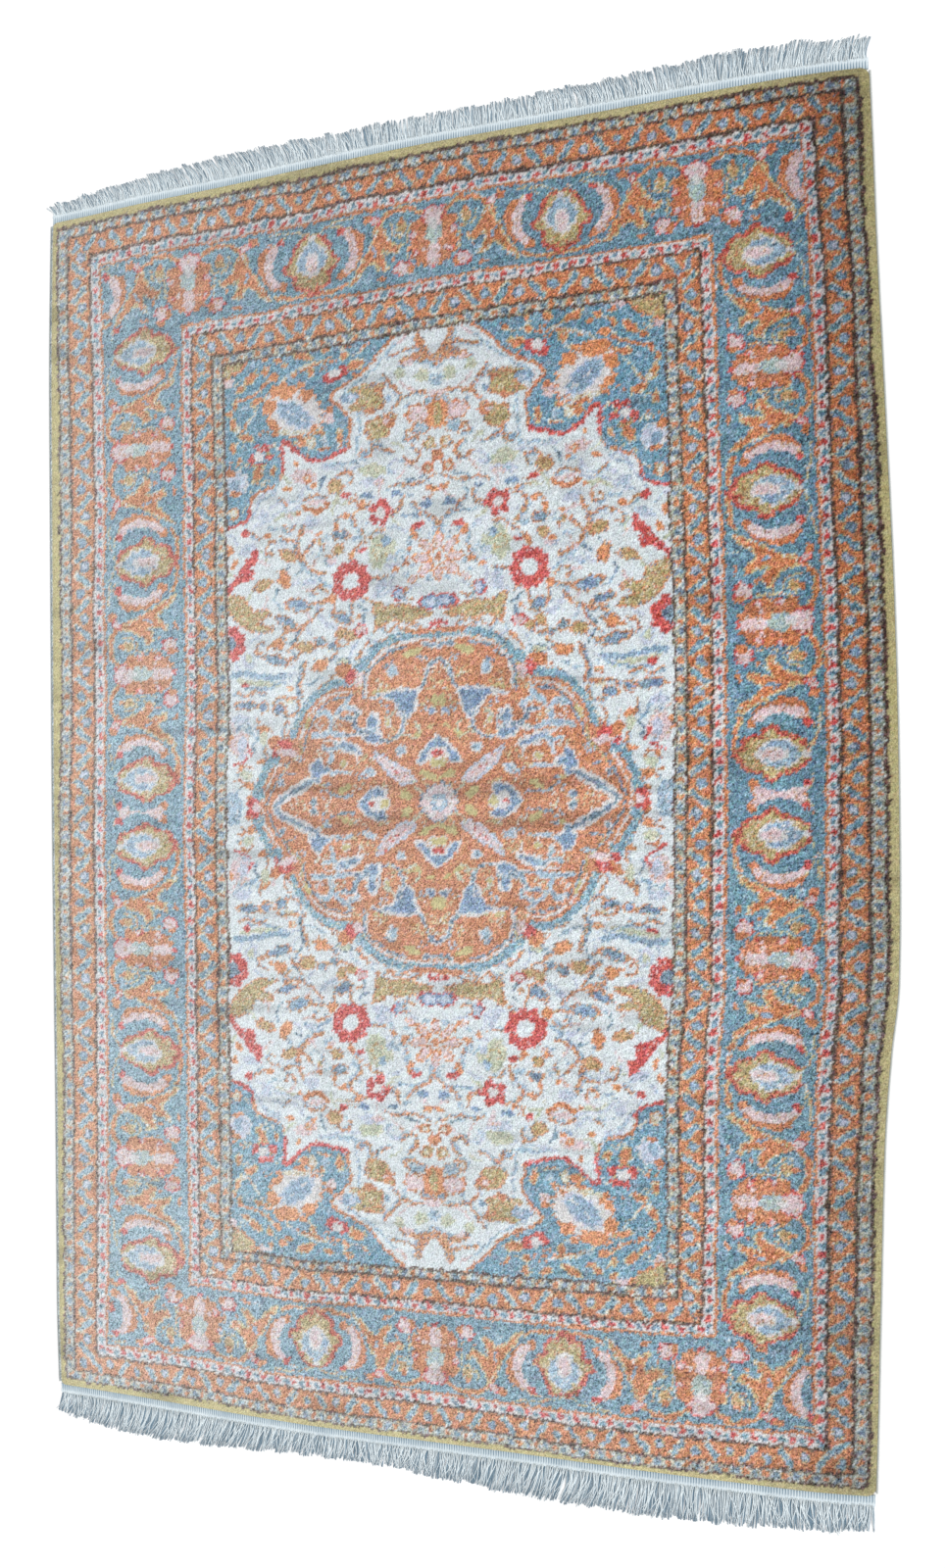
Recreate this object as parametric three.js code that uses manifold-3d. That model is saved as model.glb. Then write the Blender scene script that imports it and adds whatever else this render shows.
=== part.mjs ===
// A hand-knotted rug lying flat: width along X, length along Y, underside at z = 0. Millimetres.
import * as THREE from 'three';
import { mergeVertices } from 'three/addons/utils/BufferGeometryUtils.js';
import Module from 'manifold-3d';

// Knotted pile: its four corners, as uneven as a hand loom leaves them
const corners = {
  bottomLeft: { x: -608, y: -903 },
  bottomRight: { x: 605, y: -906 },
  topLeft: { x: -604, y: 900 },
  topRight: { x: 604, y: 910 },
};
const cornerRadius = 11;
const pileThickness = 8;
const pileEdgeThickness = 5.6;
const pileRollWidth = 9;
// Two slow waves across the face, as radians over the width and the length, and their height
const pileWaves = [{ across: 9.1, along: 2.7, height: 0.22 }, { across: -5.2, along: 14.3, height: 0.22 }];
const pileSteps = { across: 16, along: 24 };

// How far each edge bows out past the straight line between its corners. `at` runs from 0 to 1,
// left to right on the ends and bottom to top on the sides.
const edgeBow = [
  { at: 0.0, top: 0.0, bottom: 0.0, left: 0.0, right: 0.0 },
  { at: 0.06, top: 1.5, bottom: 1.3, left: 2.8, right: 3.1 },
  { at: 0.125, top: 4.6, bottom: 3.2, left: 3.2, right: 6.1 },
  { at: 0.25, top: 6.3, bottom: 7.9, left: 3.6, right: 12.7 },
  { at: 0.31, top: 8.2, bottom: 9.6, left: 4.3, right: 20.5 },
  { at: 0.36, top: 9.7, bottom: 10.4, left: 4.8, right: 30.2 },
  { at: 0.5, top: 12.0, bottom: 9.2, left: 5.9, right: 31.6 },
  { at: 0.625, top: 10.2, bottom: 8.2, left: 5.9, right: 27.3 },
  { at: 0.75, top: 8.8, bottom: 8.4, left: 5.6, right: 18.2 },
  { at: 0.875, top: 7.4, bottom: 6.2, left: 4.9, right: 8.1 },
  { at: 0.94, top: 5.1, bottom: 4.6, left: 2.8, right: 4.1 },
  { at: 1.0, top: 0.0, bottom: 0.0, left: 0.0, right: 0.0 },
];

// Overcast selvedge cord
const clearance = 0.3;
const selvedgeWidth = 3.2;
const selvedgeHeight = 4.4;

// Flat-woven web and its fringe
const webWidth = 10;
const webThickness = 2.2;
const strandsPerEnd = 132;
const strandLengthSpread = 3;
const strandRootDepth = 5;
const strandSteps = 3;
const strandRoot = { width: 4.8, height: 2.0 };
const strandTip = { width: 2.4, height: 1.1 };
// Sideways play of a lock, in millimetres at its tip: slow drift along the end, spread to both sides,
// a little chance, and neighbours drawn together in bundles
const strandSway = { drift: 7, driftWaves: 4.3, splay: 9, jitter: 1.1, curl: 1.2, bundle: 4, gather: 0.1 };

// How far the locks reach past the pile on each end, left to right
const fringeReach = [
  { at: 0.0, top: 31, bottom: 52 },
  { at: 0.06, top: 36, bottom: 57 },
  { at: 0.125, top: 40, bottom: 61 },
  { at: 0.25, top: 47, bottom: 51 },
  { at: 0.375, top: 45, bottom: 43 },
  { at: 0.5, top: 42, bottom: 49 },
  { at: 0.625, top: 43, bottom: 59 },
  { at: 0.75, top: 45, bottom: 63 },
  { at: 0.875, top: 48, bottom: 57 },
  { at: 1.0, top: 40, bottom: 47 },
];

const wasm = await Module();
wasm.setup();

// Repeatable number from -1 to 1 for a counted piece
function scatter(index, salt) {
  const wave = Math.sin(index * 12.9898 + salt * 78.233) * 43758.5453;
  return 2 * (wave - Math.floor(wave)) - 1;
}

// Smooth curve through one column of a table whose rows have an `at`
function readAt(table, column, at) {
  let i = 0;
  while (i < table.length - 2 && at > table[i + 1].at) i += 1;
  const slope = (k) => {
    const before = table[Math.max(k - 1, 0)];
    const after = table[Math.min(k + 1, table.length - 1)];
    return (after[column] - before[column]) / (after.at - before.at);
  };
  const from = table[i];
  const to = table[i + 1];
  const span = to.at - from.at;
  const u = (at - from.at) / span;
  const start = from[column] * (1 + 2 * u) * (1 - u) ** 2 + slope(i) * span * u * (1 - u) ** 2;
  const end = to[column] * (3 - 2 * u) * u ** 2 - slope(i + 1) * span * u ** 2 * (1 - u);
  return start + end;
}

const edges = {
  bottom: { from: 'bottomLeft', to: 'bottomRight', outward: { x: 0, y: -1 } },
  top: { from: 'topLeft', to: 'topRight', outward: { x: 0, y: 1 } },
  left: { from: 'bottomLeft', to: 'topLeft', outward: { x: -1, y: 0 } },
  right: { from: 'bottomRight', to: 'topRight', outward: { x: 1, y: 0 } },
};

// Point on one bowed edge of the pile, moved `out` millimetres outward
function edgePoint(name, at, out = 0) {
  const { from, to, outward } = edges[name];
  const bow = readAt(edgeBow, name, at) + out;
  return new THREE.Vector2(
    THREE.MathUtils.lerp(corners[from].x, corners[to].x, at) + outward.x * bow,
    THREE.MathUtils.lerp(corners[from].y, corners[to].y, at) + outward.y * bow,
  );
}

// Point inside the four bowed edges, for s across the width and t along the length, both 0 to 1
function clothPoint(s, t) {
  const { bottomLeft, bottomRight, topLeft, topRight } = corners;
  const mixCorners = (axis) => (1 - s) * (1 - t) * bottomLeft[axis] + s * (1 - t) * bottomRight[axis]
    + (1 - s) * t * topLeft[axis] + s * t * topRight[axis];
  const bottom = edgePoint('bottom', s);
  const top = edgePoint('top', s);
  const left = edgePoint('left', t);
  const right = edgePoint('right', t);
  const mixEdges = (axis) => (1 - t) * bottom[axis] + t * top[axis] + (1 - s) * left[axis] + s * right[axis];
  return new THREE.Vector2(mixEdges('x') - mixCorners('x'), mixEdges('y') - mixCorners('y'));
}

const pileWidth = corners.bottomRight.x - corners.bottomLeft.x;
const pileLength = corners.topLeft.y - corners.bottomLeft.y;

// Stations across one direction: close together where the pile rolls down at its edge
function stations(length, count) {
  const rim = [0, cornerRadius * 0.3, cornerRadius].map((inset) => inset / length);
  const inner = Array.from({ length: count - 1 }, (_, i) => (i + 1) / count);
  return [...rim, ...inner, ...rim.map((at) => 1 - at).reverse()];
}

// The cord and the web take the pile's own stations, so the gap beside the pile stays even
const across = stations(pileWidth, pileSteps.across);
const along = stations(pileLength, pileSteps.along);

// Draws the square corners of the grid in to a round of cornerRadius
function roundCorner(s, t) {
  const edgeX = Math.min(s, 1 - s) * pileWidth;
  const edgeY = Math.min(t, 1 - t) * pileLength;
  if (edgeX >= cornerRadius || edgeY >= cornerRadius) return { s, t };
  const u = 1 - edgeX / cornerRadius;
  const v = 1 - edgeY / cornerRadius;
  const insetX = cornerRadius * (1 - u * Math.sqrt(1 - (v * v) / 2)) / pileWidth;
  const insetY = cornerRadius * (1 - v * Math.sqrt(1 - (u * u) / 2)) / pileLength;
  return { s: s < 0.5 ? insetX : 1 - insetX, t: t < 0.5 ? insetY : 1 - insetY };
}

// Height of the pile's face: low where it rolls over at the edge, gently uneven elsewhere
function pileHeight(s, t) {
  const fromEdge = Math.min(Math.min(s, 1 - s) * pileWidth, Math.min(t, 1 - t) * pileLength);
  const roll = THREE.MathUtils.smoothstep(fromEdge, 0, pileRollWidth);
  const uneven = pileWaves.reduce((sum, wave) => (
    sum + wave.height * Math.sin(wave.across * s + wave.along * t)
  ), 0);
  return THREE.MathUtils.lerp(pileEdgeThickness, pileThickness + uneven, roll);
}

function meshFrom(positions, triangles) {
  const geometry = new THREE.BufferGeometry();
  geometry.setAttribute('position', new THREE.Float32BufferAttribute(positions.flat(), 3));
  geometry.setIndex(triangles.flat());
  geometry.computeVertexNormals();
  return geometry;
}

// Closed bar through rings of points, each ring with the same count, with a fan over each end
function sweep(rings) {
  const sides = rings[0].length;
  const triangles = [];
  for (let i = 0; i < rings.length - 1; i += 1) {
    for (let k = 0; k < sides; k += 1) {
      const a = i * sides + k;
      const b = i * sides + ((k + 1) % sides);
      triangles.push([a, b, b + sides], [a, b + sides, a + sides]);
    }
  }
  const last = (rings.length - 1) * sides;
  for (let k = 1; k < sides - 1; k += 1) {
    triangles.push([0, k + 1, k], [last, last + k, last + k + 1]);
  }
  return meshFrom(rings.flat(), triangles);
}

function pileGeometry() {
  const columns = across.length;
  const face = along.length * columns;
  const top = [];
  const bottom = [];
  for (const t of along) {
    for (const s of across) {
      const inside = roundCorner(s, t);
      const { x, y } = clothPoint(inside.s, inside.t);
      top.push([x, y, pileHeight(s, t)]);
      bottom.push([x, y, 0]);
    }
  }
  const triangles = [];
  for (let j = 0; j < along.length - 1; j += 1) {
    for (let i = 0; i < columns - 1; i += 1) {
      const a = j * columns + i;
      const c = a + columns;
      triangles.push([a, a + 1, c + 1], [a, c + 1, c]);
      triangles.push([face + a, face + c + 1, face + a + 1], [face + a, face + c, face + c + 1]);
    }
  }
  const rim = [];
  for (let i = 0; i < columns - 1; i += 1) rim.push(i);
  for (let j = 0; j < along.length - 1; j += 1) rim.push(j * columns + columns - 1);
  for (let i = columns - 1; i > 0; i -= 1) rim.push((along.length - 1) * columns + i);
  for (let j = along.length - 1; j > 0; j -= 1) rim.push(j * columns);
  rim.forEach((a, k) => {
    const b = rim[(k + 1) % rim.length];
    triangles.push([face + a, face + b, b], [face + a, b, a]);
  });
  return meshFrom([...top, ...bottom], triangles);
}

// Oval cord section, flat where it meets the floor: distance outward and height
const cordSection = [
  { out: 0.1, up: 0 },
  { out: 0.8, up: 0 },
  { out: 1, up: 0.45 },
  { out: 0.75, up: 0.9 },
  { out: 0.3, up: 1 },
  { out: 0, up: 0.5 },
];

function selvedgeGeometry(side) {
  const rings = along.slice(1, -1).map((at) => cordSection.map(({ out, up }) => {
    const { x, y } = edgePoint(side, at, clearance + out * selvedgeWidth);
    return [x, y, up * selvedgeHeight];
  }));
  if (side === 'right') rings.reverse();
  return sweep(rings);
}

// Flat strip just outside an end of the pile
function webGeometry(end) {
  const rings = across.slice(1, -1).map((at) => {
    const near = edgePoint(end, at, clearance);
    const far = edgePoint(end, at, clearance + webWidth);
    return [
      [near.x, near.y, 0],
      [near.x, near.y, webThickness],
      [far.x, far.y, webThickness],
      [far.x, far.y, 0],
    ];
  });
  if (end === 'top') rings.reverse();
  return sweep(rings);
}

// How far a strand's tip lies to the side of its root
function tipDrift(index, at, salt) {
  const { drift, driftWaves, splay, jitter, bundle, gather } = strandSway;
  const pitch = pileWidth / strandsPerEnd;
  const inBundle = (index % bundle) - (bundle - 1) / 2;
  return splay * (2 * at - 1) + drift * Math.sin(at * driftWaves * Math.PI + salt)
    + jitter * scatter(index, salt) - gather * inBundle * pitch;
}

// One lock of warp ends, lying on the floor from inside the web to its cut tip
function strandGeometry(end, index, salt) {
  const inset = (cornerRadius * 0.5 + strandRoot.width) / pileWidth;
  const at = THREE.MathUtils.lerp(inset, 1 - inset, (index + 0.5) / strandsPerEnd);
  const root = edgePoint(end, at, clearance + webWidth - strandRootDepth);
  const outward = edges[end].outward.y;
  const reach = readAt(fringeReach, end, at) - webWidth + strandRootDepth
    + strandLengthSpread * scatter(index, salt + 3);
  const drift = tipDrift(index, at, salt);
  const curl = strandSway.curl * scatter(index, salt + 5);
  const rings = [];
  for (let i = 0; i <= strandSteps; i += 1) {
    const u = i / strandSteps;
    const width = THREE.MathUtils.lerp(strandRoot.width, strandTip.width, u);
    const height = THREE.MathUtils.lerp(strandRoot.height, strandTip.height, u);
    const x = root.x + drift * u ** 1.5 + curl * Math.sin(Math.PI * u);
    const y = root.y + outward * reach * u;
    rings.push([[x - width / 2, y, 0], [x, y, height], [x + width / 2, y, 0]]);
  }
  if (end === 'bottom') rings.reverse();
  return sweep(rings);
}

function toSolid(geometry) {
  const bare = geometry.clone();
  bare.deleteAttribute('normal');
  const merged = mergeVertices(bare);
  return new wasm.Manifold(new wasm.Mesh({
    numProp: 3,
    vertProperties: new Float32Array(merged.attributes.position.array),
    triVerts: new Uint32Array(merged.index.array),
  }));
}

function fromSolid(solid) {
  const { vertProperties, triVerts } = solid.getMesh();
  const geometry = new THREE.BufferGeometry();
  geometry.setAttribute('position', new THREE.BufferAttribute(vertProperties, 3));
  geometry.setIndex(new THREE.BufferAttribute(triVerts, 1));
  geometry.computeVertexNormals();
  return geometry;
}

function fringeGeometry(end, salt) {
  let fringe = toSolid(webGeometry(end));
  for (let i = 0; i < strandsPerEnd; i += 1) {
    fringe = fringe.add(toSolid(strandGeometry(end, i, salt)));
  }
  return fromSolid(fringe);
}

const pileWool = new THREE.MeshStandardMaterial({ color: 0xb08a6c, roughness: 0.95, metalness: 0 });
const edgeWool = new THREE.MeshStandardMaterial({ color: 0xd2cdb4, roughness: 0.95, metalness: 0 });
const warpCotton = new THREE.MeshStandardMaterial({ color: 0xdde0de, roughness: 0.9, metalness: 0 });

function named(name, geometry, material) {
  const mesh = new THREE.Mesh(geometry, material.clone());
  mesh.name = name;
  return mesh;
}

const rug = new THREE.Group();
rug.add(
  named('pile', pileGeometry(), pileWool),
  named('selvedge_left', selvedgeGeometry('left'), edgeWool),
  named('selvedge_right', selvedgeGeometry('right'), edgeWool),
  named('fringe_top', fringeGeometry('top', 1), warpCotton),
  named('fringe_bottom', fringeGeometry('bottom', 2), warpCotton),
);

// The origin goes under the middle of everything
const middle = new THREE.Box3().setFromObject(rug).getCenter(new THREE.Vector3());
rug.position.set(-middle.x, -middle.y, 0);

const part = new THREE.Group();
part.add(rug);

export default part;
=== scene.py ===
import bpy
import numpy as np
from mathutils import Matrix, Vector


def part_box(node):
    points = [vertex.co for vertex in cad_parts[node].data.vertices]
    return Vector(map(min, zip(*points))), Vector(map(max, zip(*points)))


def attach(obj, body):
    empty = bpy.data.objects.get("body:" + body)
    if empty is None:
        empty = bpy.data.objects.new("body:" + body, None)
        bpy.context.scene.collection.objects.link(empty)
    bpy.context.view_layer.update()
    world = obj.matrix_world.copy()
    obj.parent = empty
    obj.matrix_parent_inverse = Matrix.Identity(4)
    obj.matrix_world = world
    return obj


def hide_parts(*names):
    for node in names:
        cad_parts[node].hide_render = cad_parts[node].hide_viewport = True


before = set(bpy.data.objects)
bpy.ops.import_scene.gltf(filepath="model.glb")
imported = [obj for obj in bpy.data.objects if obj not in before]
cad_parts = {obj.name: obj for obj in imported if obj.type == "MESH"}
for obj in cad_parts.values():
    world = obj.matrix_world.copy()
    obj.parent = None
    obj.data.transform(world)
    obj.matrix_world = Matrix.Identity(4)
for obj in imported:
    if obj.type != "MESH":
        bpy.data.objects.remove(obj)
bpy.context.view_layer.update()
mm = 0.001
print("frame loaded")

# The rug's outline, as its solids have it: millimetres from the middle of the drawing

outline = {
    "bottomLeft": (-608, -903), "bottomRight": (605, -906), "topLeft": (-604, 900), "topRight": (604, 910),
    "cornerRadius": 11, "width": 1213, "length": 1803,
    "stations": [0, 0.06, 0.125, 0.25, 0.31, 0.36, 0.5, 0.625, 0.75, 0.875, 0.94, 1],
    # how far each edge bows out at those stations, left to right and bottom to top
    "top": [0, 1.5, 4.6, 6.3, 8.2, 9.7, 12.0, 10.2, 8.8, 7.4, 5.1, 0],
    "bottom": [0, 1.3, 3.2, 7.9, 9.6, 10.4, 9.2, 8.2, 8.4, 6.2, 4.6, 0],
    "left": [0, 2.8, 3.2, 3.6, 4.3, 4.8, 5.9, 5.9, 5.6, 4.9, 2.8, 0],
    "right": [0, 3.1, 6.1, 12.7, 20.5, 30.2, 31.6, 27.3, 18.2, 8.1, 4.1, 0],
}
edges = {
    "bottom": ("bottomLeft", "bottomRight", (0, -1)), "top": ("topLeft", "topRight", (0, 1)),
    "left": ("bottomLeft", "topLeft", (-1, 0)), "right": ("bottomRight", "topRight", (1, 0)),
}


def readAt(stations, values, at):  # smooth curve through a column of values
    stations, values = np.array(stations, float), np.array(values, float)
    last = len(stations) - 1
    number = np.arange(last + 1)
    before, after = np.maximum(number - 1, 0), np.minimum(number + 1, last)
    slope = (values[after] - values[before]) / (stations[after] - stations[before])
    i = np.clip(np.searchsorted(stations, at, side="left") - 1, 0, last - 1)
    span = stations[i + 1] - stations[i]
    u = (at - stations[i]) / span
    start = values[i] * (1 + 2 * u) * (1 - u) ** 2 + slope[i] * span * u * (1 - u) ** 2
    return start + values[i + 1] * (3 - 2 * u) * u ** 2 - slope[i + 1] * span * u ** 2 * (1 - u)


def edgePoint(name, at, out=0.0):  # points on a bowed edge, moved outward
    start, end, outward = edges[name]
    at = np.asarray(at, float)
    bow = readAt(outline["stations"], outline[name], at) + out
    return [outline[start][k] * (1 - at) + outline[end][k] * at + outward[k] * bow for k in (0, 1)]


def clothPoint(s, t):  # points inside the four bowed edges, s over the width and t over the length
    bottom, top = edgePoint("bottom", s), edgePoint("top", s)
    left, right = edgePoint("left", t), edgePoint("right", t)
    place = []
    for k in (0, 1):
        corners = ((1 - s) * (1 - t) * outline["bottomLeft"][k] + s * (1 - t) * outline["bottomRight"][k]
                   + (1 - s) * t * outline["topLeft"][k] + s * t * outline["topRight"][k])
        place.append((1 - t) * bottom[k] + t * top[k] + (1 - s) * left[k] + s * right[k] - corners)
    return place


def roundCorner(s, t):
    radius = outline["cornerRadius"]
    u = 1 - np.minimum(s, 1 - s) * outline["width"] / radius
    v = 1 - np.minimum(t, 1 - t) * outline["length"] / radius
    inCorner = (u > 0) & (v > 0)
    insetX = radius * (1 - u * np.sqrt(np.maximum(1 - v * v / 2, 0))) / outline["width"]
    insetY = radius * (1 - v * np.sqrt(np.maximum(1 - u * u / 2, 0))) / outline["length"]
    return (np.where(inCorner, np.where(s < 0.5, insetX, 1 - insetX), s),
            np.where(inCorner, np.where(t < 0.5, insetY, 1 - insetY), t))


rim = np.linspace(0, 1, 401)
drawn = np.hstack([edgePoint(side, rim) for side in edges])
pileLow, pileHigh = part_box("pile")
shift = [(pileLow[k] + pileHigh[k]) / 2 / mm - (drawn[k].min() + drawn[k].max()) / 2 for k in (0, 1)]

# Camera, floor and light

view = {
    "lens": 29.25, "sensor": 36.0, "shiftUp": 0.055, "clip": (0.05, 60),
    "place": (604.8, -91.3, 1702.8),  # mm, in the drawing
    "turn": (-0.0095, 0.304, -0.0071),  # radians
}
studio = {
    "skyStrength": 0.88, "sunStrength": 1.35, "sunSoftness": 0.35,
    "sunPlace": (0, 0, 3),
    "sunTurn": (0.35, 0.75, 0.3),  # radians: the light comes from the right and a little from the top
    "floorSize": 120, "floorShade": 0.94, "floorRoughness": 0.9,
}


def setStage():
    scene = bpy.context.scene
    scene.view_settings.view_transform = "Standard"
    lens = bpy.data.cameras.new("camera")
    lens.lens, lens.sensor_width, lens.shift_y = view["lens"], view["sensor"], view["shiftUp"]
    lens.clip_start, lens.clip_end = view["clip"]
    camera = bpy.data.objects.new("camera", lens)
    x, y, z = view["place"]
    camera.location = ((x + shift[0]) * mm, (y + shift[1]) * mm, z * mm)
    camera.rotation_euler = view["turn"]
    scene.collection.objects.link(camera)
    scene.camera = camera
    world = bpy.data.worlds.new("sky")
    world.use_nodes = True
    sky = world.node_tree.nodes["Background"].inputs
    sky["Color"].default_value = (1, 1, 1, 1)
    sky["Strength"].default_value = studio["skyStrength"]
    scene.world = world
    bpy.ops.object.light_add(type="SUN", location=studio["sunPlace"], rotation=studio["sunTurn"])
    sun = bpy.context.object
    sun.data.energy, sun.data.angle = studio["sunStrength"], studio["sunSoftness"]
    bpy.ops.object.select_all(action="DESELECT")
    bpy.ops.mesh.primitive_plane_add(size=studio["floorSize"], location=(0, 0, 0))
    floor = bpy.context.object
    floor.name = "floor"
    paper = bpy.data.materials.new("floorPaper")
    paper.use_nodes = True
    shade = studio["floorShade"]
    coat = paper.node_tree.nodes["Principled BSDF"].inputs
    coat["Base Color"].default_value = (shade, shade, shade, 1)
    coat["Roughness"].default_value = studio["floorRoughness"]
    floor.data.materials.append(paper)


setStage()
print("camera, floor and light ready")


# Materials: a socket that can be used in sums, and the tree that it belongs to

class Wire:
    def __init__(self, recipe, socket):
        self.recipe, self.socket = recipe, socket

    def sum(self, operation, first, second):
        return self.recipe.add("ShaderNodeMath", {"operation": operation}, {0: first, 1: second})

    def __add__(self, other):
        return self.sum("ADD", self, other)

    def __sub__(self, other):
        return self.sum("SUBTRACT", self, other)

    def __rsub__(self, other):
        return self.sum("SUBTRACT", other, self)

    def __mul__(self, other):
        return self.sum("MULTIPLY", self, other)


class Recipe:
    def __init__(self, name, **fixed):
        self.material = bpy.data.materials.new(name)
        self.material.use_nodes = True
        self.nodes, self.links = self.material.node_tree.nodes, self.material.node_tree.links
        self.shader = self.nodes["Principled BSDF"]
        for socket, value in fixed.items():
            self.shader.inputs[socket.replace("_", " ")].default_value = value

    def plug(self, socket, value):
        if isinstance(value, Wire):
            self.links.new(value.socket, socket)
        else:
            socket.default_value = value

    def add(self, kind, settings=None, sockets=None, out=0):
        node = self.nodes.new(kind)
        for name, value in (settings or {}).items():
            setattr(node, name, value)
        for socket, value in (sockets or {}).items():
            self.plug(node.inputs[socket], value)
        return Wire(self, node.outputs[out])

    def mix(self, factor, first, second, blend="MIX"):
        settings = {"data_type": "RGBA", "blend_type": blend}
        return self.add("ShaderNodeMix", settings, {0: factor, 6: first, 7: second}, out=2)

    def noise(self, place, scale, detail=2.0, roughness=0.5):
        sockets = {"Vector": place, "Scale": scale, "Detail": detail, "Roughness": roughness}
        return self.add("ShaderNodeTexNoise", {}, sockets)

    def stretched(self, place, scale):  # the place, stretched along its axes
        return self.add("ShaderNodeMapping", {}, {"Vector": place, "Scale": scale})

    def place(self):
        return self.add("ShaderNodeTexCoord", out="Object")

    def attribute(self, name, out="Color"):
        return self.add("ShaderNodeAttribute", {"attribute_name": name}, out=out)

    def grey(self, value):  # a number as a grey, to multiply a colour
        return self.add("ShaderNodeCombineColor", {}, {0: value, 1: value, 2: value})

    def bump(self, height, depth, strength=1.0):
        bumped = self.add("ShaderNodeBump", {}, {"Height": height, "Distance": depth, "Strength": strength})
        self.plug(self.shader.inputs["Normal"], bumped)

    def paint(self, colour):
        self.plug(self.shader.inputs["Base Color"], colour)


def linear(colour):  # sRGB from 0 to 255 as linear light
    share = np.array(colour, float) / 255
    return np.where(share < 0.04045, share / 12.92, ((share + 0.055) / 1.055) ** 2.4)


# The drawing of the pile: a chart of knots, dyed shape by shape

knots = {
    "across": 482, "along": 720,  # rows of knots over the width and the length
    "width": 1204, "length": 1800,  # the drawing's size, mm
    "seed": 11,
    "stray": 1.1, "ragged": 2.2, "raggedSize": 5,  # how far a knot and its neighbours stray, mm
    "wander": 1.5, "wanderSize": (60, 70),  # slow wander of the drawn lines, mm
}

yarns = {  # dyed wool, as sRGB from 0 to 255
    "gold": (190, 180, 131), "brown": (90, 70, 61), "grey": (160, 164, 152), "teal": (99, 137, 157),
    "blue": (128, 156, 182), "orange": (192, 116, 76), "rust": (191, 119, 84), "ivory": (208, 217, 221),
    "white": (208, 205, 205), "pink": (210, 184, 188), "red": (191, 74, 69), "sky": (152, 178, 198),
    "olive": (171, 153, 105), "celadon": (166, 182, 176), "navy": (110, 137, 174),
    "cream": (200, 192, 168), "lavender": (186, 193, 212), "sage": (182, 188, 164),
    "ochre": (182, 144, 98), "slate": (112, 134, 154), "azure": (106, 150, 170), "tan": (188, 140, 106),
    "amber": (208, 132, 88), "ink": (64, 92, 114), "straw": (192, 172, 128), "lake": (96, 141, 165),
    "madder": (178, 78, 66),
}
hanks = list(yarns)
# Shares of a dye's knots that were tied in others, as the weaver shaded the figures
shading = {
    "azure": {"sky": 0.22, "cream": 0.08, "teal": 0.1}, "navy": {"sky": 0.1, "slate": 0.18},
    "slate": {"sky": 0.14, "ink": 0.12}, "sky": {"white": 0.1, "slate": 0.1}, "blue": {"sky": 0.15},
    "cream": {"ivory": 0.25, "ochre": 0.12}, "olive": {"rust": 0.1, "cream": 0.1},
    "ochre": {"olive": 0.25}, "pink": {"white": 0.16, "tan": 0.1}, "rust": {"amber": 0.04, "tan": 0.04},
    "red": {"pink": 0.06}, "lavender": {"sky": 0.2}, "sage": {"cream": 0.15},
    "teal": {"azure": 0.1, "ink": 0.12, "sky": 0.02}, "orange": {"rust": 0.16, "amber": 0.06},
    "celadon": {"sky": 0.2}, "tan": {"rust": 0.3, "slate": 0.12, "amber": 0.14},
    "lake": {"teal": 0.2, "sky": 0.08}, "madder": {"olive": 0.08, "rust": 0.1},
    "straw": {"orange": 0.2, "ivory": 0.12}, "grey": {"ivory": 0.12, "slate": 0.08},
}

# Distance in from each edge at which a band of the border begins, mm, from the edge to the field
bandNames = ["gold", "brown", "grey", "brown", "orange", "brown", "white", "orange", "teal",
             "orange", "white", "brown", "orange", "brown", "grey", "brown", "ivory"]
mainBand, fieldBand = bandNames.index("teal"), bandNames.index("ivory")
guardBands, barBands, hookBands = (2, 14), (4, 12), (6, 10)
bandStarts = {
    "left": [0, 13, 17, 31, 35, 70, 74, 88, 92, 228, 232, 244, 248, 279, 283, 296, 300],
    "right": [0, 12, 18, 32, 37, 64, 69, 80, 84, 201, 205, 217, 221, 249, 253, 265, 268],
    "bottom": [0, 8, 11.5, 23, 26, 50, 53.5, 66, 70, 181, 185, 196, 200, 228, 232, 241, 245],
    "top": [0, 9.5, 14.5, 24.5, 28.5, 54.5, 59.5, 72, 76, 184, 188, 200, 203, 234, 238, 249, 253],
}
# How much further in the bands lie, mm, at places along the edge: near it, past the first bands and
# at the field
driftStart, driftStep, driftDepths = 100, 160, (20, 75, 240)
bandDrift = {
    "left": [(-0.5, -1, -1), (-1.4, 2.1, 2.6), (1.9, 3.4, 0.4), (-0.6, 2.9, -3.1), (-3, 1.5, -5.5),
        (-0.4, 2.2, -5.9), (4.6, 5.6, -0.4), (4.6, 4.6, -1.4), (4.9, 7.4, -0.6), (3.1, 6.1, -1.9),
        (-0.5, 0.5, -0.5)],
    "right": [(-5.5, -5.9, 3.3), (-5.3, -3, 0.5), (-5.2, 0, 2.4), (-3.8, 1.8, 7.2), (-2.8, 2.5, 6.6),
        (-3.6, 0.3, 4.6), (-3.4, -0.4, 0.9), (-4.2, 0.2, 1.1), (-3.9, -1.7, -0.7), (-5, -2.9, -2),
        (-2, 2, 0.7)],
    "bottom": [(2, 5.5, -3), (3, 5, -2), (-2, -1, -4), (0.5, 0.5, -4), (-1.5, 0, -1), (-1.5, 0, 2.5),
        (1, 5, 7)],
    "top": [(2, 7, 2.5), (2, 4, 11.5), (4.5, 5, 8.5), (2.5, 3.5, 6), (1, 2.5, 3.5), (0.5, 2, 1.5),
        (-0.5, 1.5, -2)],
}
bandRipple = {"height": 1.2, "size": 6, "settle": 10}  # mm; the drift fades out over the outermost ones
sides = ("left", "right")


def ease(a):
    return a * a * (3 - 2 * a)


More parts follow.
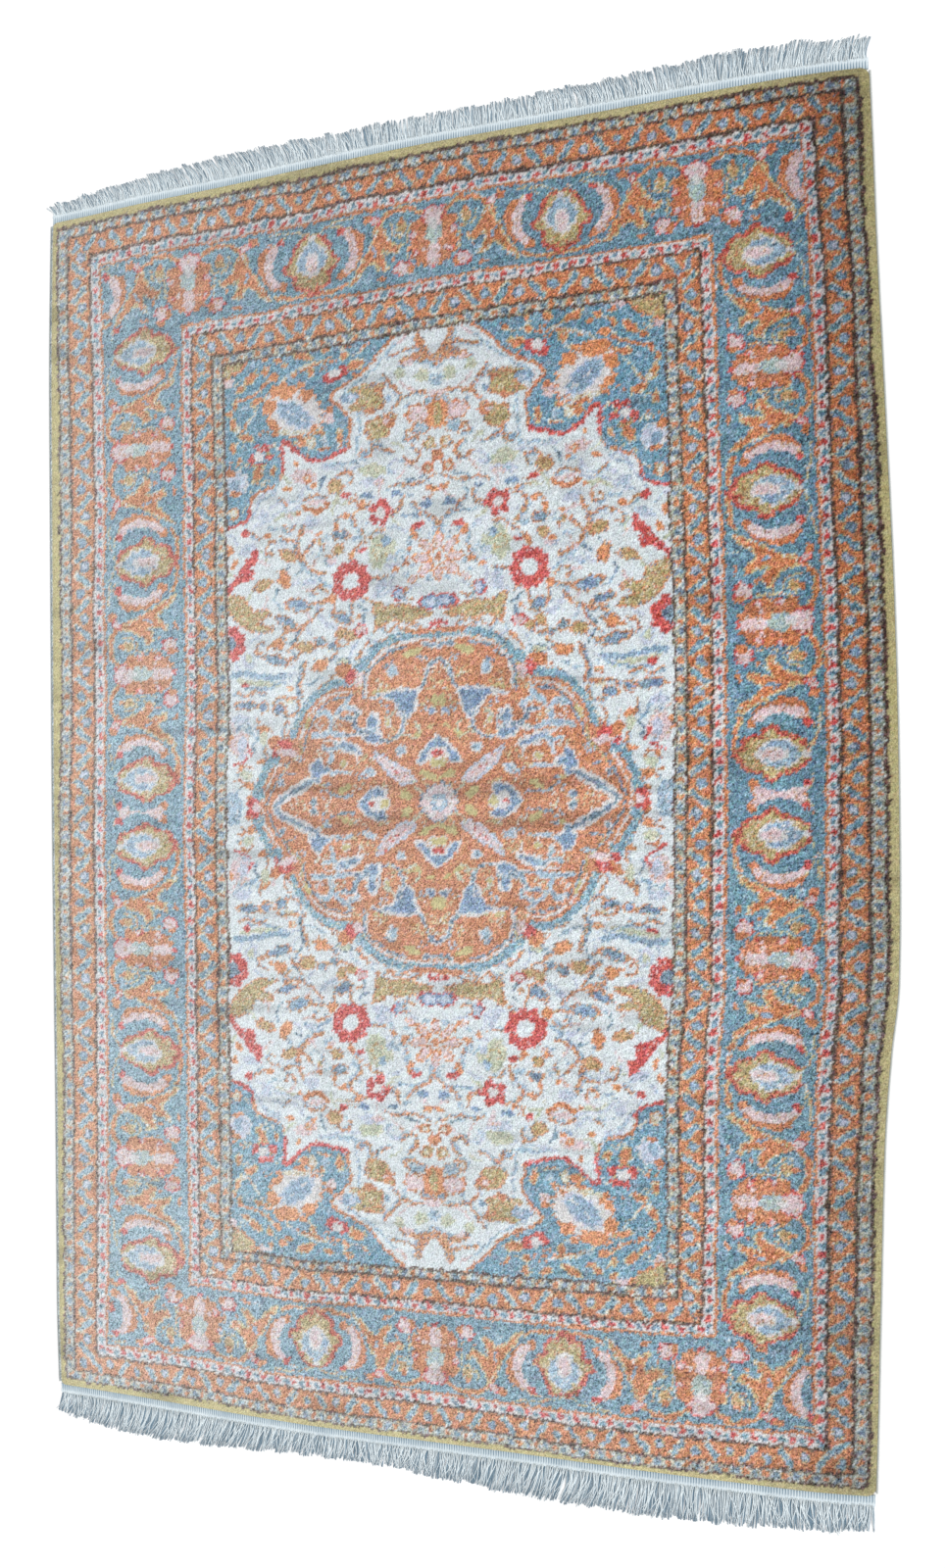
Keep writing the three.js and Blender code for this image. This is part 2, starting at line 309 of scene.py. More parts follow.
def slowNoise(x, y, size, seed):  # smooth random swell from -1 to 1, `size` mm from crest to crest
    cells, margin = 200, 20
    grid = np.random.default_rng(seed).uniform(-1, 1, (cells, cells))
    gx, gy = x / size + margin, y / size + margin
    i, j = gx.astype(int), gy.astype(int)
    a, b = ease(gx - i), ease(gy - j)
    i, j = i % (cells - 1), j % (cells - 1)
    low = grid[j, i] * (1 - a) + grid[j, i + 1] * a
    high = grid[j + 1, i] * (1 - a) + grid[j + 1, i + 1] * a
    return low * (1 - b) + high * b


def smoothLine(points, closed):  # curve through the points
    parts = 5
    points = np.array(points, float)
    if closed:
        ring = np.vstack([points[-1:], points, points[:2]])
    else:
        ring = np.vstack([2 * points[0] - points[1], points, 2 * points[-1] - points[-2]])
    curve = []
    for a, b, c, d in zip(ring[:-3], ring[1:-2], ring[2:-1], ring[3:]):
        for t in np.arange(parts) / parts:
            curve.append(0.5 * (2 * b + (c - a) * t + (2 * a - 5 * b + 4 * c - d) * t ** 2
                                + (3 * b - a - 3 * c + d) * t ** 3))
    if not closed:
        curve.append(points[-1])
    return np.array(curve)


pen = {  # mm, and shares
    "beside": (2.6, -2.4),  # where a twig's second line lies
    "lineRim": 2.4, "shapeRim": 3.4, "spotRim": 3, "spotRimShare": 0.36,
    "tooth": 4, "notch": 0.08,  # size of a spot's teeth, and their depth as a share of the spot
    "petalAt": 0.66, "petal": 0.38, "smallPetal": 0.3, "heart": 0.38,  # shares of a flower's size
}


class Panel:  # a part of the chart, drawn on in its own two coordinates
    def __init__(self, chart, where, u, v):
        self.chart = chart
        self.knots = np.flatnonzero(where)
        self.u, self.v = u.ravel()[self.knots], v.ravel()[self.knots]

    def near(self, points, reach):  # knots that a shape could touch
        low, high = np.min(points, 0) - reach, np.max(points, 0) + reach
        inBox = (self.u > low[0]) & (self.u < high[0]) & (self.v > low[1]) & (self.v < high[1])
        picked = np.flatnonzero(inBox)
        return picked, self.u[picked], self.v[picked]

    def dye(self, yarn, picked):
        self.chart[self.knots[picked]] = hanks.index(yarn)

    def measure(self, curve, reach):  # knots near a curve, their distance to it and place along it
        picked, u, v = self.near(curve, reach)
        start, step = curve[:-1], np.diff(curve, axis=0)
        offset = np.stack([u, v], 1)[:, None] - start
        place = np.clip((offset * step).sum(2) / np.maximum((step ** 2).sum(1), 1e-9), 0, 1)
        gap = np.hypot(*(offset - place[..., None] * step).transpose(2, 0, 1))
        best = np.arange(len(u)), gap.argmin(1)
        return picked, u, v, gap[best], (best[1] + place[best]) / len(step)

    def line(self, yarn, points, width, taper=0.0):
        picked, _, _, gap, along = self.measure(smoothLine(points, False), width)
        half = width / 2 * (1 - taper * np.abs(2 * along - 1) ** 2)
        self.dye(yarn, picked[gap < half])

    def shape(self, yarn, points, rim=None, rimWidth=3.0):  # a closed outline
        curve = smoothLine(points, True)
        picked, u, v, gap, _ = self.measure(np.vstack([curve, curve[:1]]), rimWidth)
        inside = np.zeros(len(u), bool)
        for (ax, ay), (bx, by) in zip(curve, np.roll(curve, -1, 0)):
            crosses = (ay > v) != (by > v)
            inside ^= crosses & (u < (bx - ax) * (v - ay) / (by - ay + 1e-12) + ax)
        if rim:
            self.dye(rim, picked[inside | (gap < rimWidth / 3)])
            inside &= gap > rimWidth * 2 / 3
        self.dye(yarn, picked[inside])

    def spot(self, yarn, at, size, turn=0.0, rim=None, rimWidth=3.0, teeth=0):
        across, along = size
        picked, u, v = self.near([at], max(size) * (1 + pen["notch"]) + rimWidth)
        du, dv = u - at[0], v - at[1]
        cosTurn, sinTurn = np.cos(np.radians(turn)), np.sin(np.radians(turn))
        du, dv = (du * cosTurn + dv * sinTurn), (dv * cosTurn - du * sinTurn)
        angle = np.arctan2(dv / along, du / across)
        swell = 1 + pen["notch"] * np.cos(teeth * angle) if teeth else 1
        far = np.hypot(du / across, dv / along) / swell
        if rim:
            self.dye(rim, picked[far < 1])
            far = far * (1 + rimWidth / min(size))
        self.dye(yarn, picked[far < 1])

    def disc(self, yarn, at, radius):
        self.spot(yarn, at, (radius, radius))

    def flower(self, yarn, at, size, heart, petals):  # petals round a heart
        petal = pen["smallPetal"] if petals > 6 else pen["petal"]
        for k in range(petals):
            angle = 2 * np.pi * (k + 0.5) / petals
            place = [at[0] + pen["petalAt"] * size * np.cos(angle),
                     at[1] + pen["petalAt"] * size * np.sin(angle)]
            self.disc(yarn, place, size * petal)
        self.disc(heart, at, size * pen["heart"])


stripes = {  # mm
    "blobPitch": 12.8, "blobSize": (4, 4.4), "wave": 3.4, "waveHalf": 1.5,
    "barPitch": {"left": 79, "right": 79, "top": 93, "bottom": 93}, "barSlope": (0.65, 0.76),
    # the bars and blossoms are drawn for a band that is 28 mm wide, and at most a tenth larger
    "drawnHalf": 14, "largest": 1.1,
    "bars": [("cream", 5.2, 16), ("teal", 3.7, 14)], "beadPitch": 5.4, "bead": 1.5, "beadsEnd": 12,
    "blossom": [("straw", 8.2), ("slate", 7)], "blossomHeart": 4, "blossomOff": 0.2,
    "hookPitch": 23.4, "hooks": [("sky", 0.25, 1, 2), ("red", 0, 1, 5.4), ("teal", 0.5, -1, 5)],
    "hookLean": (0.6, 0.4), "hookFlat": 0.7, "tailAt": (3.6, 3.9), "tailSize": (1.9, 1.5),
}


def folded(turns, pitch):  # distance to the nearest whole turn, mm
    return ((turns + 0.5) % 1 - 0.5) * pitch


def bandStripes(chart, depth, along, width, barPitch):  # the small repeats of the narrow bands
    def dye(yarn, where):
        chart[where] = hanks.index(yarn)

    band = np.floor(depth)
    place = depth - band
    for number in guardBands:  # blobs by turns blue and orange on grey
        mine = band == number
        turn = along / stripes["blobPitch"]
        du, dv = (turn % 1 - 0.5) * stripes["blobPitch"], (place - 0.5) * width[number]
        wave = stripes["wave"] * np.cos(np.pi * turn * 2)
        dye("cream", mine & (np.abs(dv - wave) < stripes["waveHalf"]))
        across, up = stripes["blobSize"]
        blob = mine & ((du / across) ** 2 + (dv / up) ** 2 < 1)
        for odd, yarn in enumerate(("slate", "orange")):
            dye(yarn, blob & (np.floor(turn) % 2 == odd))
    near, far = stripes["barSlope"]
    for number in barBands:  # slanting bars, with a blossom in every pocket between them
        mine, half = band == number, width[number] / 2
        size = min(half / stripes["drawnHalf"], stripes["largest"])
        turn, dv = along / barPitch, (place - 0.5) * width[number]
        for start, side in ((0, 1), (0.5, -1)):
            du = folded(turn - start - 0.25, barPitch)
            across = np.abs(near * dv - side * far * du) / size
            length = np.abs(near * du + side * far * dv) / size
            for yarn, wide, long in stripes["bars"]:
                dye(yarn, mine & (across < wide) & (length < long))
            toBead = length % stripes["beadPitch"] - stripes["beadPitch"] / 2
            dye("sky", mine & (np.hypot(across, toBead) < stripes["bead"]) & (length < stripes["beadsEnd"]))
            du = folded(turn - start, barPitch)
            away = np.hypot(du, dv - side * half * stripes["blossomOff"]) / size
            heart = ("lavender" if side > 0 else "blue", stripes["blossomHeart"])
            for yarn, radius in (*stripes["blossom"], heart):
                dye(yarn, mine & (away < radius))
    (leanAcross, leanUp), flat = stripes["hookLean"], stripes["hookFlat"]
    for number in hookBands:  # red hooks with blue ones between
        mine = band == number
        dv = (place - 0.5) * width[number]
        for yarn, start, lean, size in stripes["hooks"]:
            du = folded(along / stripes["hookPitch"] - start, stripes["hookPitch"])
            body = (((du + lean * dv * leanAcross) / size) ** 2
                    + ((dv - lean * du * leanUp) / (size * flat)) ** 2)
            (tailU, tailV), (tailLong, tailWide) = stripes["tailAt"], stripes["tailSize"]
            tail = (np.abs(dv - tailV * lean) < tailWide) & (np.abs(du + tailU * lean) < tailLong)
            dye(yarn, mine & ((body < 1) | tail & (size > 3)))


# The border's unit runs from a palmette at 0 to a blossom at 170, and from 0 outside to 112 inside.
# A line has its width and its points, a spot its place, its half width, its half height and its turn
# in degrees, if any, a shape its corners; "in" names the rim and "by" a second line beside the first.
unit = {
    "length": 170, "depth": 112, "overlap": 4, "corner": 45,
    "pairShrink": 1.1,  # two palmettes back to back are narrower
}
borderSteps = {
    "vine": [
        ("line", "straw", [(2.6, -4,20, 12,13, 30,7, 60,5), (2.4, 134,44, 134,76),
            (2.6, 112,24, 114,38, 124,44, 136,40, 140,28)]),
        ("line", "orange in straw", [(4, 4,104, 30,103, 48,97),
            (5, 88,36, 94,24, 105,12, 120,6, 138,7, 152,16)]),
        ("shape", "orange in straw", [(96,23, 103,33, 109,46, 119,56, 127,55, 121,67, 109,65, 100,60,
            102,74, 108,87, 96,85, 88,75, 77,81, 66,94, 54,101, 60,88, 68,74, 78,57, 87,40)]),
        ("spot", "blue", [(89,61, 2.6,8, -20)]),
        ("spot", "ochre in straw", [(126,31, 8,9)]),
        ("spot", "orange", [(126,22, 4,5), (80,11, 8,6), (101,100, 7,3, 10), (116,74, 3,3)]),
        ("spot", "pink in red", [(91,16, 9,6, 40), (129,91, 13,11)]),
        ("spot", "orange", [(138,94, 5,7)]),
    ],
    "palmette": [
        ("line", "orange", [(12, 55,25, 65,32, 68,46, 64,62, 54,76, 40,84)]),
        ("line", "pink", [(12, 49,24, 56,36, 59,50, 57,64, 49,78)]),
        ("line", "straw", [(2, 28,13, 40,14, 52,21)]),
        ("spot", "red", [(41,20, 6,5)]),
        ("shape", "madder", [(0,18, 9,17, 20,23, 27,38, 33,50, 40,58, 34,70, 27,73, 27,84, 22,93, 12,99,
            3,107, -6,104, -30,90, -40,58, -20,20)]),
        ("shape", "olive", [(0,21, 9,21, 16,28, 22,41, 28,53, 34,59, 30,66, 21,71, 22,83, 18,88, 9,93,
            0,97, -9,95, -24,83, -35,59, -16,25)]),
        ("spot", "madder", [(0,102, 4,4), (7,92, 1.5,4)]),
        ("spot", "sky in white", [(0,52, 21,23)]),
        ("spot", "sky", [(0,34, 8,9)]),
        ("spot", "blue", [(14,56, 4,9, 10), (8,38, 3,5)]),
        ("spot", "white", [(0,22, 5,4)]),
        ("spot", "pink in white", [(0,60, 9,19)]),
    ],
    "blossom": [
        ("spot", "orange", [(150,35, 11,10), (170,64, 32,33), (146,72, 8,10)]),
        ("spot", "rust", [(156,56, 8,14), (154,82, 8,8)]),
        ("spot", "pink in red", [(170,22, 18,13), (143,47, 5,5), (146,73, 5,5)]),
        ("spot", "pink", [(170,30, 11,9), (170,78, 9,18), (155,70, 3,3)]),
        ("spot", "celadon", [(170,48, 12,15)]),
        ("spot", "white", [(170,36, 5,8)]),
        ("spot", "red", [(170,97, 5,3)]),
    ],
}
borderStops = {  # where the palmettes and the blossoms lie along each side, mm
    "left": ([1575, 1262, 935, 836, 527, 215], [1431, 1094, 680, 365]),
    "right": ([1583, 1280, 942, 838, 530, 217], [1437, 1110, 680, 367]),
    "top": ([55, 440, 805, 1168], [240, 622, 985]),
    "bottom": ([58, 435, 800, 1168], [247, 615, 985]),
}


def mainBorder(chart, depth, edgeIn, x, y):
    for side, (palmettes, blossoms) in borderStops.items():
        along = y if side in sides else x
        across = (edgeIn[side] - mainBand) * unit["depth"]
        inReach = np.abs(across - unit["depth"] / 2) < unit["depth"] / 2 + unit["overlap"]
        inBorder = (depth >= mainBand) & (depth < mainBand + 1) & inReach
        stops = [(place, "palmette") for place in palmettes] + [(place, "blossom") for place in blossoms]
        stops.sort()
        if side in sides:
            for (place, _), sign in ((stops[0], -1), (stops[-1], 1)):  # half a palmette at the corners
                beyond = (along - place) * sign
                where = inBorder & (beyond >= 0) & (beyond < unit["corner"])
                drawSteps(Panel(chart, where, beyond, across), borderSteps["palmette"])
        for (low, first), (high, last) in zip(stops, stops[1:]):
            where = inBorder & (along >= low) & (along < high)
            if first == last:  # two palmettes back to back
                u = np.where(along < (low + high) / 2, along - low, high - along)
                drawSteps(Panel(chart, where, u * unit["pairShrink"], across), borderSteps["palmette"])
                continue
            u = along - low if first == "palmette" else high - along
            panel = Panel(chart, where, u * unit["length"] / (high - low), across)
            for part in borderSteps.values():
                drawSteps(panel, part)


# The field's quarter, mm from its middle
fieldFit = {  # where the quarter lies in the chart, mm
    "middleAt": [246, 600, 890, 1100, 1250, 1430, 1547], "middle": [613, 611, 612, 616, 620, 624, 622],
    "rightAt": [246, 300, 400, 600, 750, 1100, 1300, 1547],
    "right": [931, 931, 930, 924, 926, 932, 935, 935],
    "left": 300, "middleUp": 890, "above": 657, "below": 644, "width": 316, "length": 650,
}
ivoryEdge = [
    (0, 670), (44, 656), (62, 641), (78, 627), (98, 606), (120, 592), (142, 583), (154, 570), (137, 552),
    (125, 534), (130, 512), (131, 497), (152, 491), (176, 485), (198, 494), (226, 519), (229, 478),
    (238, 461), (252, 455), (275, 446), (282, 430), (284, 417), (300, 408), (320, 404), (360, 402),
    (360, -50), (-60, -50), (-60, 670),
]
ivorySteps = [
    ("line", "sky", [(4, 115,546, 112,525, 117,502, 118,478),
        (4, 55,634, 75,616, 92,600, 110,589, 132,578), (5, 118,478, 140,478, 165,477),
        (4, 236,468, 244,448, 262,440, 274,424, 290,404)]),
    ("line", "lavender", [(4, 108,470, 140,470, 172,476), (4, 203,444, 211,432, 230,432, 250,428),
        (4, 200,448, 203,426, 222,421, 242,417, 252,406), (4, 240,446, 251,452, 266,440, 273,424),
        (5, 62,320, 69,310, 68,298, 80,290, 96,288), (6, 155,249, 166,256, 176,266, 179,277),
        (5, 262,252, 271,245, 282,239), (4, 300,380, 308,391, 318,396), (4, 300,196, 305,212, 303,226)]),
    ("line", "sage", [(5, 206,417, 226,416, 242,409), (7, 240,175, 262,178, 285,181, 302,184)]),
    ("line", "blue", [(4, 18,396, 36,395, 54,396), (8, 229,188, 250,185, 270,188, 290,193, 312,192),
        (4, 160,308, 175,317, 181,329, 192,319, 202,312), (4, 184,447, 194,452),
        (4, 232,180, 262,171, 290,171), (4, 275,102, 285,112, 290,125, 301,131, 312,125),
        (3, 286,108, 300,118, 306,112)]),
    ("line", "tan by sky", [(12, 0,602, 12,614, 20,625, 24,638), (11, 3,607, 25,611, 46,606),
        (5, 16,562, 32,562, 48,558, 60,573, 75,590), (5, 50,560, 56,551, 63,545),
        (4, 30,500, 45,502, 44,512), (5, 93,507, 96,494, 98,484, 108,484, 110,491),
        (4, 92,497, 80,492, 64,485), (5, 37,491, 29,484, 25,476, 31,468, 40,467, 49,475),
        (4, 30,625, 46,621, 64,618), (4, 4,447, 20,440, 40,437, 60,440, 72,436),
        (4, 38,414, 30,406, 24,396), (4, 50,422, 54,411, 62,407), (4, 100,418, 112,414, 118,423),
        (4, 0,374, 5,388, 18,397), (4, 50,412, 56,404, 68,402), (4, 78,380, 92,380, 98,372),
        (5, 118,412, 126,401, 118,388, 109,378, 122,371), (4, 140,408, 151,400),
        (5, 50,330, 42,348, 37,374), (4, 75,316, 98,314), (4, 105,285, 118,291, 126,280, 128,267),
        (4, 152,288, 155,272, 150,262), (4, 164,433, 180,439, 198,434),
        (7, 200,396, 205,383, 208,370, 209,357), (5, 184,373, 195,362, 203,352),
        (6, 206,355, 198,342, 182,330, 168,326), (4, 210,375, 222,379, 233,383), (4, 264,384, 278,394),
        (5, 155,292, 170,287, 190,286), (5, 174,277, 186,263, 200,256, 214,251, 232,255),
        (5, 200,256, 208,241, 215,230, 224,221), (4, 222,250, 233,246, 225,238),
        (4, 150,216, 160,207, 170,201), (4, 204,221, 212,212, 223,208),
        (6, 198,204, 200,190, 206,178, 208,168, 203,158), (4, 262,164, 276,169, 290,162, 306,168),
        (5, 212,157, 226,155, 238,158, 248,149), (4, 208,151, 210,138, 222,131, 233,138),
        (4, 271,129, 272,118, 265,108), (5, 146,172, 166,173, 180,166, 189,154),
        (4, 224,124, 232,110, 228,98), (4, 262,92, 258,76, 262,62),
        (4, 25,240, 35,247, 47,239, 60,246, 72,237, 82,247, 93,238), (5, 100,226, 112,216, 120,204),
        (4, 128,450, 125,460, 134,467, 146,461), (3, 236,440, 222,428), (4, 282,55, 292,46, 304,52),
        (4, 276,34, 290,36, 300,28), (4, 132,228, 146,222, 152,232)]),
    ("line", "slate", [(4, 205,375, 214,368), (4, 222,342, 226,334), (4, 240,311, 246,298),
        (4, 203,333, 213,328), (4, 108,263, 110,251), (4, 203,200, 208,186, 211,172, 206,160),
        (4, 208,205, 213,214, 219,222), (4, 272,100, 280,90, 276,80), (4, 206,249, 213,238, 220,230),
        (3, 20,447, 44,442), (4, 82,494, 88,499), (4, 152,210, 162,203)]),
    ("spot", "slate in tan", [(143,378, 14,8, 10), (175,231, 10,8, 30), (238,141, 13,8, -8),
        (228,264, 20,7, 20), (244,210, 24,8, 16), (290,148, 22,7, 2), (141,262, 17,9, 25),
        (158,224, 8,6)]),
    ("spot", "blue in tan", [(209,285, 22,10, 14), (108,487, 7,6), (262,145, 8,9)]),
    ("spot", "navy", [(246,211, 9,3, 16), (206,286, 9,5, 14), (236,141, 7,4), (141,263, 8,4, 25),
        (228,265, 10,3, 20), (263,146, 5,5), (60,427, 8,4, 10), (105,430, 10,4.5, 6), (16,408, 9,6, -10),
        (296,148, 9,3)]),
    ("spot", "amber in tan", [(229,324, 9,15, -22), (175,200, 15,9, -14), (240,233, 10,10, 20),
        (262,112, 9,7, 30)]),
    ("spot", "ochre in tan", [(147,357, 10,8, -10), (150,448, 13,11), (222,357, 15,9, 25),
        (197,226, 15,9, 8), (128,236, 12,7, -12), (262,318, 16,8, -14), (144,241, 9,10), (12,490, 10,9)]),
    ("spot", "sage in slate", [(141,202, 14,6, -4)]),
    ("spot", "sky", [(4,578, 6,8), (40,422, 5,4), (43,546, 4,5), (37,328, 5,3), (14,307, 5,4),
        (41,361, 4,10), (160,340, 9,5, 20), (120,372, 8,4, -10), (178,380, 4,3)]),
    ("spot", "lavender", [(188,401, 13,8, 10), (190,318, 9,5), (94,448, 19,7, -4), (260,416, 9,8),
        (285,371, 14,7, -20), (286,212, 9,13, -15), (158,252, 9,5, 20), (84,300, 8,12, 30),
        (300,128, 14,7), (172,262, 6,5)]),
    ("spot", "pink", [(5,560, 9,5), (196,466, 20,9, 10), (178,428, 16,4, 4), (86,446, 9,4), (40,604, 8,4),
        (138,566, 6,7), (156,342, 7,4)]),
    ("spot", "sage", [(95,463, 19,10, 8), (20,585, 10,10), (52,592, 8,8), (263,99, 6,12),
        (286,214, 4,8, -15), (72,352, 10,14, 20), (86,350, 16,24, 10), (290,48, 10,7)]),
    ("spot", "amber", [(255,387, 6,4), (175,384, 4,3), (206,416, 4,3), (207,485, 4,5), (192,463, 6,6),
        (183,453, 5,4), (222,452, 7,4), (160,348, 6,3, 10), (62,323, 5,4), (35,374, 7,7), (312,372, 5,7),
        (305,352, 4,9, 30), (157,290, 7,8), (117,262, 5,4), (136,404, 5,4), (150,392, 4,6), (314,97, 6,9),
        (268,66, 6,4), (300,58, 4,3), (254,228, 6,3, -10), (222,170, 6,5), (112,420, 4,4),
        (285,30, 7,5, 20)]),
    ("line", "orange", [(8, 162,424, 172,417, 186,416, 198,423), (4, 285,60, 300,62),
        (3, 292,36, 308,40)]),
    ("spot", "red", [(136,433, 7,5), (28,381, 9,5, -6), (113,353, 8,4), (288,395, 7,6),
        (292,177, 7,4, 10)]),
    ("spot", "cream", [(222,170, 3,2.5), (118,262, 2,2), (226,151, 9,2.5), (192,463, 2.5,2.5),
        (12,490, 4,4)]),
    # palmettes: the fish-shaped pair, the pale tree, the speckled one on the axis
    ("line", "olive in tan", [(8, 84,577, 100,577, 124,574), (8, 84,552, 104,551, 122,552)]),
    ("shape", "olive in tan", [
        (74,578, 86,580, 110,576, 112,566, 116,556, 110,550, 100,541, 88,546, 74,552, 78,566),
        (60,536, 78,536, 96,532, 104,524, 103,512, 92,504, 78,506, 68,514)]),
    ("spot", "rust", [(70,527, 9,8), (96,546, 8,5), (84,572, 8,3)]),
    ("spot", "pink", [(74,528, 5,3)]),
    ("spot", "blue", [(126,567, 15,8), (76,364, 6,7), (70,558, 4,5)]),
    ("spot", "lavender", [(122,567, 6,4), (70,342, 5,5)]),
    ("spot", "sage in ochre", [(86,350, 10,10)]),
    ("shape", "olive in tan", [(10,261, 24,267, 42,273, 60,275, 74,273, 86,280, 99,282, 94,268, 91,247,
        83,244, 74,251, 58,250, 44,248, 30,252, 12,256), (318,310, 318,290, 308,274, 295,261, 280,253,
        262,250, 244,253, 258,262, 270,266, 260,271, 250,278, 262,285, 276,282, 283,293, 292,302)]),
    ("shape", "red", [(270,374, 276,368, 286,357, 296,345, 306,332, 318,318, 318,304, 308,317, 295,325,
        281,326, 276,336, 280,346, 267,350, 269,360)]),
    ("spot", "pink in orange", [(28,533, 19,13)]),
    ("spot", "pink in amber", [(0,359, 14,7.5, 90), (17,352, 15,7.5, 46), (24,336, 15,7.5, 4),
        (18,320, 14,7, -40), (0,314, 11,7, 90), (38,308, 8,5, -30)]),
    ("spot", "rust", [(0,336, 5,6), (32,366, 4,2.5, -20), (44,330, 4,3, 10)]),
    ("spot", "sky", [(28,374, 5,3), (46,316, 5,3)]),
    ("spot", "sky in tan", [(9,548, 12,8), (25,512, 15,9)]),
    ("spot", "navy in red", [(10,275, 19,11), (58,290, 9,11)]),
    ("spot", "lavender", [(10,275, 9,5), (57,290, 4,6)]),
    ("spot", "amber", [(4,530, 11,21)]),
    ("spot", "olive", [(0,530, 6,17)]),
    ("spot", "rust", [(14,457, 9,8), (4,472, 5,9)]),
    ("spot", "cream", [(14,457, 4,4)]),
    ("spot", "pink in red", [(114,243, 11,9)]),
    ("spot", "pink", [(301,92, 15,19, 8)]),
    ("spot", "lavender", [(298,92, 7,12, 8), (296,76, 6,4)]),
    ("line", "red", [(5, 283,79, 289,90), (4, 290,72, 300,67, 310,62)]),
    ("spot", "sky in blue", [(314,4, 17,20)]),
]

